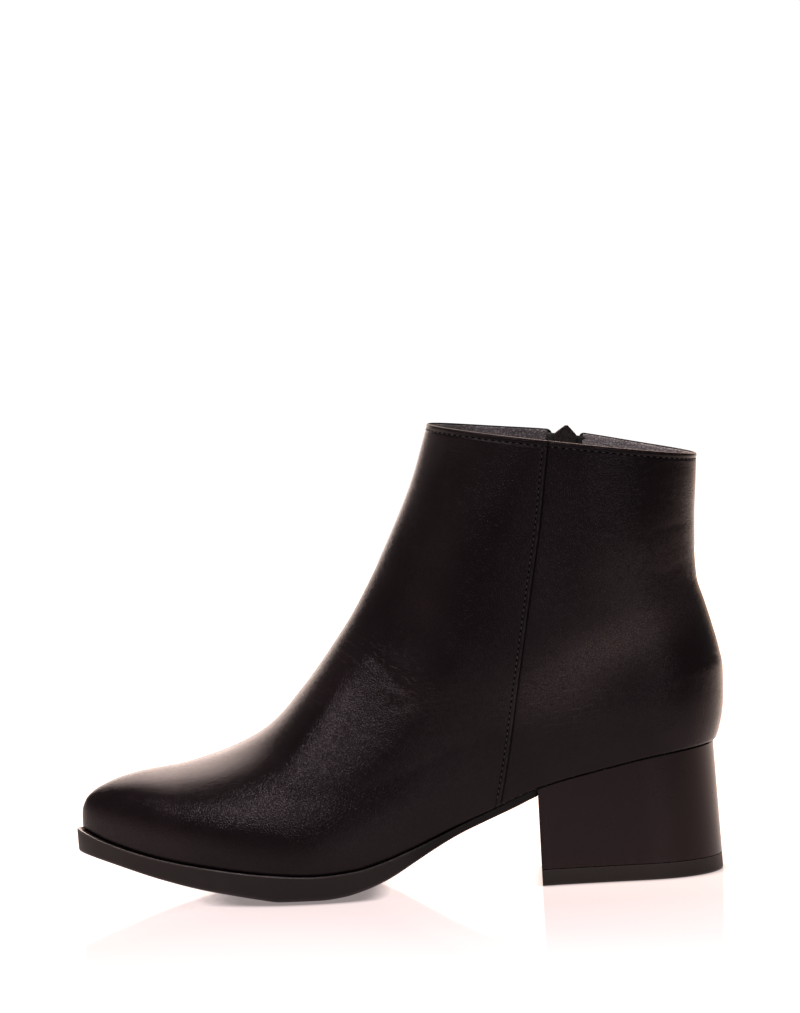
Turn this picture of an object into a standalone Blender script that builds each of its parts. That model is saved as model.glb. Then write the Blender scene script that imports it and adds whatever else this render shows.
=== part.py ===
"""Block heel ankle boot for the left foot, standing on a floor at z = 0.

The boot is drawn in its own millimetres: forward runs from the back of the heel counter to the toe,
across is positive towards the outer (lateral) side of the foot, height is measured from the floor.
"Rise" is height above the feather line, the edge where the upper meets the sole.
"""

import math

import bmesh
import bpy
import numpy as np
from mathutils import Matrix, Vector

MM = 0.001


def table(columns, *rows):
    """A table of sizes: one array for each named column."""
    return {name: np.array(values, float) for name, values in zip(columns.split(), zip(*rows))}


# Driving sizes, in millimetres

WALL = 2.0
GAP = 0.3
SWELL = 1.1
FOOTPRINT_TIP = 257.2
BALL_FORWARD = 172.0
TOE_TAPER = 0.45

FRONT_LINE = table(
    "forward height",
    (257.2, 28.1),
    (257.0, 34.5),
    (255.2, 39.5),
    (251.5, 43.0),
    (244.0, 46.6),
    (232.0, 49.8),
    (214.0, 52.3),
    (196.0, 57.5),
    (180.0, 66.0),
    (167.2, 79.0),
    (154.4, 95.0),
    (140.0, 116.6),
    (128.5, 138.2),
    (118.5, 160.0),
    (111.0, 182.0),
)

BACK_LINE = table(
    "forward height",
    (4.2, 51.0),
    (2.6, 55.5),
    (0.9, 62.5),
    (0.0, 71.0),
    (-0.2, 80.0),
    (0.8, 87.0),
    (3.1, 96.5),
    (5.7, 106.2),
    (8.2, 116.0),
    (8.5, 124.0),
    (8.0, 140.0),
    (6.8, 154.0),
    (5.9, 164.8),
)

FEATHER_LINE = table(
    "forward height",
    (-1.0, 51.2),
    (4.2, 51.0),
    (27.0, 48.8),
    (50.7, 44.3),
    (74.0, 38.9),
    (93.0, 31.6),
    (106.3, 26.2),
    (127.4, 17.4),
    (138.5, 13.6),
    (148.7, 11.3),
    (163.4, 10.3),
    (183.0, 11.6),
    (203.0, 14.0),
    (224.0, 17.4),
    (245.0, 22.9),
    (262.0, 30.0),
)

FOOTPRINT = table(
    "forward centre half",
    (-1.0, 0.0, 28.2),
    (36.0, 0.0, 28.2),
    (60.0, 0.5, 28.0),
    (90.0, 2.0, 28.0),
    (110.0, 3.0, 30.0),
    (130.0, 3.2, 34.2),
    (150.0, 2.6, 38.8),
    (165.0, 1.6, 40.6),
    (172.0, 1.0, 40.8),
    (195.0, -1.4, 40.8),
    (225.0, -4.0, 40.8),
    (262.0, -5.8, 40.8),
)

GIRTH = table(
    "rise heel_half waist_half front_round back_round back_power",
    (0.0, 28.2, 28.0, 90.0, 31.8, 2.3),
    (10.0, 30.2, 30.0, 88.0, 33.0, 2.3),
    (24.0, 31.4, 32.0, 82.0, 35.0, 2.2),
    (45.0, 31.0, 33.2, 76.0, 37.0, 2.1),
    (70.0, 30.4, 33.8, 70.0, 40.0, 2.0),
    (100.0, 31.2, 33.8, 62.0, 44.0, 2.0),
    (130.0, 32.4, 33.4, 56.0, 47.0, 2.0),
    (160.0, 33.0, 33.2, 54.0, 50.0, 2.0),
)

ARCH = table(
    "forward power ridge_shift",
    (100.0, 2.0, 0.0),
    (125.0, 2.0, 1.0),
    (150.0, 2.1, 3.5),
    (175.0, 2.3, 4.0),
    (205.0, 2.5, 2.5),
    (235.0, 2.6, 1.0),
    (262.0, 2.6, 0.0),
)

SOLE = table(
    "forward ledge lip bottom",
    (-1.0, -2.4, 0.0, 48.7),
    (74.0, -2.4, 0.0, 35.2),
    (84.0, -1.6, 0.0, 31.1),
    (95.0, -0.6, 0.0, 26.8),
    (106.0, 0.4, 0.1, 22.6),
    (116.0, 1.0, 0.3, 17.5),
    (124.0, 1.4, 0.5, 12.8),
    (134.0, 1.8, 0.6, 6.9),
    (144.0, 2.0, 0.6, 3.0),
    (153.0, 2.0, 0.6, 0.8),
    (162.0, 2.0, 0.6, 0.0),
    (177.0, 2.0, 0.6, 0.0),
    (186.0, 2.0, 0.6, 1.2),
    (195.0, 2.0, 0.6, 2.7),
    (208.0, 2.0, 0.6, 4.9),
    (224.0, 2.1, 0.6, 8.5),
    (245.0, 2.2, 0.6, 14.3),
    (262.0, 2.3, 0.6, 18.9),
)

SEAT_THICKNESS = 2.0
SEAT_END = 76.8
SEAT_STEP = 0.3
EDGE_ROUND = 2.6
TREAD_INSET = 12.0

INSOLE_THICKNESS = 2.5
INSOLE_GAP = 0.5

HEEL_BREAST = 76.2
HEEL_INSET = 0.8
HEEL_FLARE = 1.6
HEEL_RIM = 1.3
HEEL_TAPER = 0.955
TOP_LIFT = 6.3

SEAM = table(
    "height forward",
    (25.0, 92.2),
    (51.0, 86.4),
    (74.0, 82.1),
    (97.0, 77.8),
    (121.0, 73.2),
    (140.0, 69.5),
    (160.0, 66.4),
    (190.0, 62.0),
)
SEAM_STEP = 0.45
SEAM_FADE = 26.0
SEAM_RUN = 0.5

ZIP_BEHIND_SEAM = 8.0
ZIP_TOP_LIFT = 1.4
ZIP_TOP_REACH = 26.0
ZIP_SLOT_HALF = 5.5
ZIP_BOTTOM_RISE = 28.0
CHAIN_HALF = 2.4
CHAIN_PROUD = 0.4
CHAIN_DEPTH = 1.8
CHAIN_TOP = 7.5
TAPE_TOP = 1.2
TAPE_OUTER = 0.5
TAPE_INNER = 1.5

SLIDER_BELOW_COLLAR = 3.0
SLIDER_PLATE = 1.0
SLIDER_OUTER = 0.8
SLIDER_INNER = 2.2
SLIDER_POST = (3.0, 3.4)
SLIDER_POST_UP = 2.6
SLIDER_OUTLINE = table(
    "across up",
    (-3.4, -7.0),
    (3.4, -7.0),
    (4.8, -0.5),
    (4.4, 1.6),
    (0.0, 5.6),
    (-4.4, 1.6),
    (-4.8, -0.5),
)

CROWN_HALF = 1.0
CROWN_LENGTH = 7.4
CROWN_BAR = 0.9
CROWN_CLEAR = 2.5
HINGE_UP = -1.4
HINGE_LIFT = 3.1

TAB_BAR_RADIUS = 0.65
TAB_EYE_HALF = 1.5
TAB_EYE_LENGTH = 4.9
TAB_HALF = 3.0
TAB_LENGTH = 24.0
TAB_THICKNESS = 1.2

# Ring levels of the upper at its front edge, as rise above the feather line
RING_RISES = (
    0, 1.5, 4, 8, 12, 16, 20, 24, 28, 31, 34, 37, 40, 43, 47, 52, 58,
    65, 73, 82, 92, 103, 115, 128, 140, 150, 158,
)
BACK_COLUMNS = 8
FRONT_COLUMNS = 15
OUTLINE_STATIONS = 34
HEEL_STATIONS = 14


# Curves

def smooth_curve(xs, ys):
    """A smooth curve through the points that never overshoots them."""
    order = np.argsort(xs)
    xs, ys = np.asarray(xs, float)[order], np.asarray(ys, float)[order]
    step = np.diff(xs)
    slope = np.diff(ys) / step
    tangent = np.concatenate([slope[:1], slope[1:] * 0, slope[-1:]])
    for i in range(1, len(xs) - 1):
        if slope[i - 1] * slope[i] > 0:
            before, after = 2 * step[i] + step[i - 1], step[i] + 2 * step[i - 1]
            tangent[i] = (before + after) / (before / slope[i - 1] + after / slope[i])

    def at(x):
        x = np.clip(x, xs[0], xs[-1])
        i = np.clip(np.searchsorted(xs, x) - 1, 0, len(step) - 1)
        t = (x - xs[i]) / step[i]
        bend = t * t * (3 - 2 * t)
        leave, arrive = t * (1 - t) ** 2, t * t * (t - 1)
        return ys[i] + (ys[i + 1] - ys[i]) * bend + step[i] * (leave * tangent[i] + arrive * tangent[i + 1])

    return at


def ease(low, high, x):
    """0 below low, 1 above high, and a soft S between them."""
    t = np.clip((x - low) / (high - low), 0, 1)
    return t * t * (3 - 2 * t)


feather = smooth_curve(FEATHER_LINE["forward"], FEATHER_LINE["height"])
front_rise_rows = FRONT_LINE["height"] - feather(FRONT_LINE["forward"])
back_rise_rows = BACK_LINE["height"] - feather(BACK_LINE["forward"])
front_rise_rows[0] = back_rise_rows[0] = 0.0
front_at = smooth_curve(front_rise_rows, FRONT_LINE["forward"])
back_at = smooth_curve(back_rise_rows, BACK_LINE["forward"])
footprint_centre = smooth_curve(FOOTPRINT["forward"], FOOTPRINT["centre"])
footprint_half = smooth_curve(FOOTPRINT["forward"], FOOTPRINT["half"])
arch_power = smooth_curve(ARCH["forward"], ARCH["power"])
ridge_shift = smooth_curve(ARCH["forward"], ARCH["ridge_shift"])
seam_forward = smooth_curve(SEAM["height"], SEAM["forward"])
girth = {name: smooth_curve(GIRTH["rise"], GIRTH[name]) for name in GIRTH if name != "rise"}
sole_size = {name: smooth_curve(SOLE["forward"], SOLE[name]) for name in SOLE if name != "forward"}

COLLAR_RISE = front_rise_rows[-1]
BACK_SHARE = back_rise_rows[-1] / COLLAR_RISE
RIDGE_RISES = np.linspace(0, COLLAR_RISE, 600)
RIDGE_FORWARDS = front_at(RIDGE_RISES)
SHIN_SLOPE = 2.6


def ridge_rise(forward):
    """Rise of the vamp's ridge, carried on up the shin line past the collar."""
    on_ridge = np.interp(forward, RIDGE_FORWARDS[::-1], RIDGE_RISES[::-1])
    return on_ridge + SHIN_SLOPE * np.maximum(RIDGE_FORWARDS[-1] - forward, 0)


# The skin of the upper

def almond(forward):
    """Share of the ball's width that the toe keeps, down to nothing at the tip."""
    run = np.clip((forward - BALL_FORWARD) / (FOOTPRINT_TIP - BALL_FORWARD), 0, 1)
    return np.sqrt(1 - run**2) * (1 - TOE_TAPER * run**2)


def half_width(forward, rise):
    """Half the width of the upper at this station and rise: rounds of the leg behind, arches of the foot ahead."""
    foot = footprint_half(forward) * almond(forward)
    heel_to_waist = ease(36.0, 95.0, forward)
    leg = girth["heel_half"](rise) * (1 - heel_to_waist) + girth["waist_half"](rise) * heel_to_waist
    as_leg = 1 - (1 - ease(0.0, 70.0, rise)) * ease(45.0, 125.0, forward)
    hull = foot + (leg - foot) * as_leg
    swell = SWELL * np.sin(np.pi * np.clip(rise / 30.0, 0, 1)) * ease(80.0, 130.0, forward)
    front = np.clip(1 - (front_at(rise) - forward) / girth["front_round"](rise), 0, 1)
    back = np.clip(1 - (forward - back_at(rise)) / girth["back_round"](rise), 0, 1)
    round_leg = (hull + swell) * np.sqrt(1 - front**2) * np.sqrt(1 - back ** girth["back_power"](rise))
    share = np.clip(rise / np.maximum(ridge_rise(forward), 0.01), 0, 1)
    arched_foot = (foot + swell * almond(forward)) * np.sqrt(1 - share ** arch_power(forward))
    ahead = ease(100.0, 165.0, forward)
    return round_leg * (1 - ahead) + arched_foot * ahead


def middle(forward, rise):
    """Where the middle of the upper lies across: the foot's swing below, the ridge's lean to the inner side above."""
    share = np.clip(rise / np.maximum(ridge_rise(forward), 0.01), 0, 1)
    swing = footprint_centre(forward) * (1 - ease(10.0, 100.0, rise) * (1 - ease(120.0, 190.0, forward)))
    return swing - ridge_shift(forward) * share**2


def seam_step(forward, height):
    """The front panel laps over the back one: a step at the seam that fades away on both sides."""
    from_seam = forward - seam_forward(height)
    fade = np.clip(1 - np.abs(from_seam - SEAM_RUN / 2) / SEAM_FADE, 0, 1) ** 2
    return SEAM_STEP * fade * np.where(from_seam >= SEAM_RUN / 2, 1.0, -1.0)


def skin_across(forward, height, side):
    """Across position of the outer skin, on the lateral (1) or medial (-1) side."""
    rise = np.maximum(height - feather(forward), 0)
    return middle(forward, rise) + side * half_width(forward, rise)


class Ring:
    """One level of the upper, from the back line to the front line."""

    def __init__(self, front_rise):
        self.front_rise = min(front_rise, COLLAR_RISE)
        self.back_rise = self.front_rise * BACK_SHARE
        self.front = float(front_at(self.front_rise))
        self.back = float(back_at(self.back_rise))
        self.straight = ease(0.4, 1.0, self.front_rise / COLLAR_RISE)

    def height(self, forward):
        along = (forward - self.back) / (self.front - self.back)
        low = feather(self.back) + self.back_rise
        high = feather(self.front) + self.front_rise
        follow = feather(forward) + self.back_rise + (self.front_rise - self.back_rise) * along
        return follow * (1 - self.straight) + (low + (high - low) * along) * self.straight

    def crossing(self, line):
        """Where this ring meets a line that gives forward for a height."""
        forward = 80.0
        for _ in range(20):
            forward = float(line(self.height(forward)))
        return forward

    def lift(self, forwards):
        """The collar rises a little to the top of the zip."""
        towards_zip = (forwards - zip_forward(self.height(forwards))) / ZIP_TOP_REACH
        return ZIP_TOP_LIFT * ease(0.6, 1.0, self.front_rise / COLLAR_RISE) * np.exp(-towards_zip**2)

    def points(self, forwards, side):
        heights = self.height(forwards)
        if side < 0:
            heights = heights + self.lift(forwards)
        across = skin_across(forwards, heights, side)
        if side > 0:
            across = across + seam_step(forwards, heights)
        return np.stack([forwards, across, heights], axis=1)


def zip_forward(height):
    return seam_forward(height) - ZIP_BEHIND_SEAM


def spread_from_back(start, end, count):
    """Stations that are close together at the start."""
    return start + (end - start) * (1 - np.cos(np.linspace(0, np.pi / 2, count + 1)))


def upper_ring(front_rise):
    """A closed loop of points: back, outer side, toe or shin, inner side, with columns on the seam and the zip."""
    ring = Ring(front_rise)
    seam = ring.crossing(seam_forward)
    zip_line = ring.crossing(zip_forward)
    outer_back = spread_from_back(ring.back, seam, BACK_COLUMNS)
    outer_front = spread_from_back(ring.front, seam + SEAM_RUN, FRONT_COLUMNS)[::-1]
    inner_front = spread_from_back(ring.front, zip_line + ZIP_SLOT_HALF, FRONT_COLUMNS)
    inner_back = spread_from_back(ring.back, zip_line - ZIP_SLOT_HALF, BACK_COLUMNS)[::-1]
    outer = ring.points(np.concatenate([outer_back, outer_front]), 1)
    inner = ring.points(np.concatenate([inner_front[1:], inner_back[:-1]]), -1)
    return np.concatenate([outer, inner])


# Mesh helpers

def new_object(name, mesh, material):
    thing = bpy.data.objects.new(name, mesh)
    mesh.materials.append(material)
    parts.objects.link(thing)
    return thing


def mesh_from(name, points, faces):
    """A mesh in metres from points in millimetres, with its faces turned outwards."""
    mesh = bpy.data.meshes.new(name)
    mesh.from_pydata([tuple(np.asarray(p, float) * MM) for p in points], [], faces)
    work = bmesh.new()
    work.from_mesh(mesh)
    bmesh.ops.recalc_face_normals(work, faces=work.faces)
    work.to_mesh(mesh)
    work.free()
    mesh.shade_smooth()
    mesh.set_sharp_from_angle(angle=math.radians(40))
    return mesh


def band(lower, upper, count, skipped=()):
    """Quads between two closed loops of points that start at these indices."""
    return [
        (lower + i, lower + (i + 1) % count, upper + (i + 1) % count, upper + i)
        for i in range(count)
        if i not in skipped
    ]


def rungs(start, count, has_tip):
    """Faces across a loop, from its outer half to its inner half, like the rungs of a ladder."""
    def mate(i):
        return (count - i) % count

    last = count // 2 if has_tip else (count - 1) // 2
    faces = []
    for i in range(last):
        loop = [i, i + 1, mate(i + 1), mate(i)]
        faces.append(tuple(start + k for k in dict.fromkeys(loop)))
    return faces


def slab(loops, has_tip=True):
    """Points and faces of a closed piece whose loops run from its top face, round its edge, to its bottom face."""
    count = len(loops[0])
    faces = rungs(0, count, has_tip) + rungs(count * (len(loops) - 1), count, has_tip)
    for i in range(len(loops) - 1):
        faces += band(i * count, (i + 1) * count, count)
    return np.concatenate(loops), faces


def strip(sections):
    """Points and faces of a bar through equal sections, closed at both ends."""
    count = len(sections[0])
    faces = [tuple(range(count)), tuple(range(count * (len(sections) - 1), count * len(sections)))]
    for i in range(len(sections) - 1):
        faces += band(i * count, (i + 1) * count, count)
    return np.concatenate(sections), faces


def outline_loop(forwards, has_tip):
    """The footprint as a loop: back point, outer side, toe point if it has one, inner side back again."""
    half = footprint_half(forwards) * almond(forwards)
    back = np.clip(1 - (forwards - back_at(0.0)) / girth["back_round"](0.0), 0, 1)
    half = half * np.sqrt(1 - back ** girth["back_power"](0.0))
    centre = footprint_centre(forwards)
    outer = np.stack([forwards, centre + half], axis=1)
    inner = np.stack([forwards, centre - half], axis=1)
    last = -1 if has_tip else None
    return np.concatenate([outer, inner[1:last][::-1]])


def grown(loop, distances):
    """The loop moved outwards by a distance at each point."""
    along = np.roll(loop, -1, axis=0) - np.roll(loop, 1, axis=0)
    along /= np.linalg.norm(along, axis=1)[:, None]
    outwards = np.stack([-along[:, 1], along[:, 0]], axis=1)
    return loop + outwards * np.broadcast_to(distances, len(loop))[:, None]


def at_height(loop, heights):
    return np.column_stack([loop, np.broadcast_to(heights, len(loop))])


def whole_footprint():
    """The whole footprint, with stations close together at the heel, the toe and the step where the seat ends."""
    turn = np.linspace(0, np.pi, OUTLINE_STATIONS + 1)
    back = float(back_at(0.0))
    stations = back + (FOOTPRINT_TIP - back) * (1 - np.cos(turn)) / 2
    return outline_loop(np.sort(np.append(stations, (SEAT_END - SEAT_STEP, SEAT_END + SEAT_STEP))), True)


def heel_footprint(front):
    """The footprint from the back of the heel to a straight front."""
    return outline_loop(spread_from_back(float(back_at(0.0)), front, HEEL_STATIONS), False)


def combine(body, mesh, operation, place=None):
    """Joins a mesh to the body, or cuts it out, with a Boolean modifier."""
    tool = bpy.data.objects.new(mesh.name, mesh)
    cutters.objects.link(tool)
    if place:
        tool.matrix_local = place
    tool.hide_render = True
    tool.display_type = "WIRE"
    boolean = body.modifiers.new(mesh.name, "BOOLEAN")
    boolean.operation = operation
    boolean.object = tool


# Materials

def finish(name, colour, roughness, metallic=0.0):
    material = bpy.data.materials.new(name)
    material.use_nodes = True
    shader = material.node_tree.nodes["Principled BSDF"]
    shader.inputs["Base Color"].default_value = (*colour, 1.0)
    shader.inputs["Roughness"].default_value = roughness
    shader.inputs["Metallic"].default_value = metallic
    return material


# Sub-parts

def make_upper(material):
    """Vamp and quarters in one wall, open at the collar, under the foot and along the zip."""
    loops = [upper_ring(rise) for rise in RING_RISES]
    count = len(loops[0])
    slot = BACK_COLUMNS + 1 + 2 * FRONT_COLUMNS
    faces = []
    for i, rise in enumerate(RING_RISES[:-1]):
        skipped = (slot,) if rise >= ZIP_BOTTOM_RISE else ()
        faces += band(i * count, (i + 1) * count, count, skipped)
    upper = new_object("upper", mesh_from("upper", np.concatenate(loops), faces), material)
    wall = upper.modifiers.new("wall", "SOLIDIFY")
    wall.thickness = WALL * MM
    wall.offset = -1.0
    return upper


def make_outsole(material):
    """Forefoot sole with a raised lip round the upper, a thin waist and a heel seat let into the heel."""
    print_loop = whole_footprint()
    station = print_loop[:, 0]
    size = {name: curve(station) for name, curve in sole_size.items()}
    top = feather(station) - GAP
    bottom = np.where(station < SEAT_END, top - SEAT_THICKNESS, size["bottom"])
    edge = np.minimum(EDGE_ROUND, 0.35 * (top - bottom))
    inside = np.minimum(0.5, size["ledge"] - 0.8)
    rows = (
        (inside, top),
        (inside + 0.1, top + size["lip"]),
        (size["ledge"] - 0.3, top + size["lip"]),
        (size["ledge"], top + size["lip"] - 0.4 * ease(0.0, 0.5, size["lip"]) - 0.1),
        (size["ledge"] - 0.2, bottom + edge),
        (size["ledge"] - 0.5 * edge, bottom + 0.45 * edge),
        (size["ledge"] - TREAD_INSET, bottom),
    )
    loops = [at_height(grown(print_loop, out), height) for out, height in rows]
    return new_object("outsole", mesh_from("outsole", *slab(loops)), material)


def make_insole(material):
    """Sock board that fills the bottom of the upper."""
    loop = grown(whole_footprint(), -(WALL + INSOLE_GAP))
    base = feather(loop[:, 0])
    loops = [at_height(loop, base + INSOLE_THICKNESS), at_height(loop, base)]
    return new_object("insole", mesh_from("insole", *slab(loops)), material)


def heel_loops(levels):
    """Loops of the heel, from its seat under the upper down to the floor: narrower below, and longer at the back."""
    plan = grown(heel_footprint(HEEL_BREAST), -HEEL_INSET)
    plan[:, 0] = np.minimum(plan[:, 0], HEEL_BREAST)
    seat = feather(plan[:, 0]) - GAP
    loops = []
    for level in levels:
        height = seat if level is None else np.full(len(plan), level)
        drop = 1 - height / seat
        narrow = plan.copy()
        narrow[:, 1] *= 1 - (1 - HEEL_TAPER) * drop
        narrow[:, 0] -= HEEL_FLARE * drop * (HEEL_BREAST - plan[:, 0]) / HEEL_BREAST
        loops.append(at_height(narrow, height))
    return loops


def make_heel_block(material):
    """Straight block heel with a cupped seat that takes the sole."""
    heel = mesh_from("heel_block", *slab(heel_loops((None, 28.0, TOP_LIFT + GAP)), False))
    block = new_object("heel_block", heel, material)
    cut = grown(heel_footprint(HEEL_BREAST + 12.0), -HEEL_RIM - HEEL_INSET)
    floor = feather(cut[:, 0]) - 2 * GAP - SEAT_THICKNESS
    cutter_mesh = mesh_from("seat_cutter", *slab([at_height(cut, floor + 12.0), at_height(cut, floor)], False))
    combine(block, cutter_mesh, "DIFFERENCE")
    return block


def make_top_lift(material):
    """Rubber lift that the heel stands on."""
    loops = heel_loops((TOP_LIFT, 0.6, 0.0))
    loops[-1][:, 1] *= 0.985
    return new_object("top_lift", mesh_from("top_lift", *slab(loops, False)), material)


def zip_place(height):
    """A frame on the inner skin at the zip: x to the toe, y up along the zip, z out of the boot."""
    forward = float(zip_forward(height))
    reach = 4.0
    here = np.array([forward, float(skin_across(forward, height, -1)), height])
    ends = [
        np.array([float(zip_forward(h)), float(skin_across(zip_forward(h), h, -1)), h])
        for h in (height - reach, height + reach)
    ]
    ahead = np.array([forward + reach, float(skin_across(forward + reach, height, -1)), height])
    behind = np.array([forward - reach, float(skin_across(forward - reach, height, -1)), height])
    up = Vector(ends[1] - ends[0]).normalized()
    out = Vector(ahead - behind).cross(up).normalized()
    across = up.cross(out)
    place = Matrix((across, up, out)).transposed().to_4x4()
    place.translation = Vector(here)
    return place


def collar_at_zip():
    collar = Ring(COLLAR_RISE)
    return collar.height(collar.crossing(zip_forward)) + ZIP_TOP_LIFT


def zip_rises(top_rise):
    """Ring levels that the zip passes, from just over the foot of its slot to its top."""
    passed = [rise for rise in RING_RISES if ZIP_BOTTOM_RISE < rise < top_rise - 2.0]
    return [ZIP_BOTTOM_RISE + 2 * GAP, *passed, top_rise]


def zip_strip(name, material, across, depth, below_collar):
    """A strip that runs up the zip: its two edges across, and its outer and inner face as depth under the skin."""
    sections = []
    for rise in zip_rises(COLLAR_RISE - below_collar):
        ring = Ring(rise)
        line = ring.crossing(zip_forward)
        out = np.array(zip_place(ring.height(line)).col[2].to_3d())
        rear, front = ring.points(line + np.array(across), -1)
        outer, inner = out * depth[0], out * depth[1]
        sections.append(np.array([rear - outer, front - outer, front - inner, rear - inner]))
    return new_object(name, mesh_from(name, *strip(sections)), material)


def make_zip(tape, chain):
    edge = ZIP_SLOT_HALF - GAP
    inside = CHAIN_HALF + GAP
    depth = (TAPE_OUTER, TAPE_INNER)
    zip_strip("zip_tape_front", tape, (inside, edge), depth, TAPE_TOP)
    zip_strip("zip_tape_rear", tape, (-edge, -inside), depth, TAPE_TOP)
    zip_strip("zip_chain", chain, (-CHAIN_HALF, CHAIN_HALF), (-CHAIN_PROUD, CHAIN_DEPTH), CHAIN_TOP)


def box_mesh(name, low, high):
    """A box between two corners in millimetres."""
    work = bmesh.new()
    bmesh.ops.create_cube(work, size=1.0)
    low, high = Vector(low), Vector(high)
    size, centre = (high - low) * MM, (high + low) / 2 * MM
    bmesh.ops.transform(work, matrix=Matrix.Translation(centre) @ Matrix.Diagonal((*size, 1.0)), verts=work.verts)
    mesh = bpy.data.meshes.new(name)
    work.to_mesh(mesh)
    work.free()
    return mesh


def plate_mesh(name, low, high):
    """The slider's plate between two levels over the skin."""
    outline = np.column_stack([SLIDER_OUTLINE["across"], SLIDER_OUTLINE["up"]])
    return mesh_from(name, *strip([at_height(outline, low), at_height(outline, high)]))


def slider_place():
    place = zip_place(collar_at_zip() - SLIDER_BELOW_COLLAR)
    place.translation *= MM
    return place


def make_slider(material):
    """Two roof-shaped plates on a post, with a crown that holds the pull tab."""
    top = SLIDER_OUTER + SLIDER_PLATE
    bottom = -SLIDER_INNER - SLIDER_PLATE
    place = slider_place()
    slider = new_object("zip_slider", plate_mesh("zip_slider", SLIDER_OUTER, top), material)
    slider.matrix_local = place
    wide, tall = SLIDER_POST
    bite = 0.4
    post_low = (-wide / 2, SLIDER_POST_UP - tall / 2, bottom + bite)
    post = box_mesh("slider_post", post_low, (wide / 2, SLIDER_POST_UP + tall / 2, top - bite))
    roof = top + CROWN_CLEAR
    ends = (HINGE_UP - CROWN_LENGTH / 2, HINGE_UP + CROWN_LENGTH / 2)
    legs = [
        box_mesh(f"crown_leg_{i}", (-CROWN_HALF, end, top - bite), (CROWN_HALF, end + CROWN_BAR, roof + bite))
        for i, end in enumerate((ends[0], ends[1] - CROWN_BAR))
    ]
    bridge_high = (CROWN_HALF + 0.1, ends[1] + 0.1, roof + CROWN_BAR)
    bridge = box_mesh("crown_bridge", (-CROWN_HALF - 0.1, ends[0] - 0.1, roof), bridge_high)
    for piece_mesh in (plate_mesh("slider_inner", bottom, -SLIDER_INNER), post, *legs, bridge):
        combine(slider, piece_mesh, "UNION", place)
    return slider


def make_pull_tab(material):
    """Flat tab that hangs from the crown: its origin is on the hinge line."""
    half = TAB_THICKNESS / 2
    place = slider_place() @ Matrix.Translation(Vector((0.0, HINGE_UP, HINGE_LIFT)) * MM)
    flat = box_mesh("zip_pull_tab", (-TAB_HALF, -TAB_LENGTH, -half), (TAB_HALF, TAB_BAR_RADIUS, half))
    tab = new_object("zip_pull_tab", flat, material)
    tab.matrix_local = place
    eye = box_mesh("tab_eye", (-TAB_EYE_HALF, -TAB_EYE_LENGTH, -2.0), (TAB_EYE_HALF, -TAB_BAR_RADIUS, 2.0))
    combine(tab, eye, "DIFFERENCE", place)
    return tab


def centre_on_floor(root):
    """Puts the middle of the boot's box over the origin."""
    bpy.context.view_layer.update()
    corners = np.array([
        thing.matrix_world @ Vector(corner) for thing in parts.objects for corner in thing.bound_box
    ])
    middle_point = (corners.min(axis=0) + corners.max(axis=0)) / 2
    root.location = (-middle_point[0], -middle_point[1], 0.0)


for leftover in list(bpy.data.objects):
    bpy.data.objects.remove(leftover)
parts = bpy.data.collections.new("block_heel_ankle_boot")
cutters = bpy.data.collections.new("cutters")
bpy.context.scene.collection.children.link(parts)
bpy.context.scene.collection.children.link(cutters)

leather = finish("black_leather", (0.018, 0.014, 0.014), 0.42)
rubber = finish("black_rubber", (0.022, 0.019, 0.019), 0.55)
lacquer = finish("black_heel_cover", (0.016, 0.012, 0.012), 0.38)
lining = finish("grey_lining", (0.16, 0.15, 0.155), 0.8)
webbing = finish("black_tape", (0.012, 0.011, 0.011), 0.85)
nylon = finish("black_nylon", (0.015, 0.014, 0.014), 0.45)
metal = finish("black_metal", (0.02, 0.02, 0.021), 0.3, 0.8)

boot = bpy.data.objects.new("boot", None)
bpy.context.scene.collection.objects.link(boot)
make_upper(leather)
make_outsole(rubber)
make_insole(lining)
make_heel_block(lacquer)
make_top_lift(rubber)
make_zip(webbing, nylon)
make_slider(metal)
make_pull_tab(metal)
for piece in list(parts.objects) + list(cutters.objects):
    piece.parent = boot
centre_on_floor(boot)
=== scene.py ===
"""Block heel ankle boot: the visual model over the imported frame, laid out as an add-on and run as a script.

The boot is drawn in its own millimetres: forward runs from the back of the heel counter to the toe, across is
positive towards the outer side of the foot, height is measured from the floor. "Rise" is height above the
feather line, the edge where the upper meets the sole.
"""

import math

import bmesh
import bpy
import numpy as np
from bpy.props import FloatProperty, FloatVectorProperty, PointerProperty
from mathutils import Matrix, Vector


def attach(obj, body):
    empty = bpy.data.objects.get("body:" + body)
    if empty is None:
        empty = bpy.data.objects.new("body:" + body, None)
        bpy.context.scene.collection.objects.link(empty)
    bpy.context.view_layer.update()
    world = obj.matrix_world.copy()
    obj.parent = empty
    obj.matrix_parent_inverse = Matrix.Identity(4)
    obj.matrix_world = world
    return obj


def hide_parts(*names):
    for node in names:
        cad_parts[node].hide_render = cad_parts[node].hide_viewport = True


bl_info = {
    "name": "Block heel ankle boot",
    "version": (1, 0, 0),
    "blender": (4, 5, 0),
    "location": "View3D > Sidebar > Boot",
    "description": "Makes the leather, sole, heel, lining and zip of an ankle boot over its packed frame",
    "category": "Object",
}

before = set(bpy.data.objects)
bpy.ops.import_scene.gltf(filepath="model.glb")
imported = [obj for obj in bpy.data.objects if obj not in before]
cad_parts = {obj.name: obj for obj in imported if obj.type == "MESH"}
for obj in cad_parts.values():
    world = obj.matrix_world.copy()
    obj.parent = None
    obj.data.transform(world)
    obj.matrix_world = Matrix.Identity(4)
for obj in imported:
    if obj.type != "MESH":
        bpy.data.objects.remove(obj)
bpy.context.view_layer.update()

MM = 0.001
FAR = 1000.0

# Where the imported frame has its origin, in the boot's millimetres
MIDDLE_FORWARD = 129.636
MIDDLE_ACROSS = 1.009


def table(columns, *rows):
    """A table of sizes: one array for each named column."""
    return {name: np.array(values, float) for name, values in zip(columns.split(), zip(*rows))}


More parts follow.
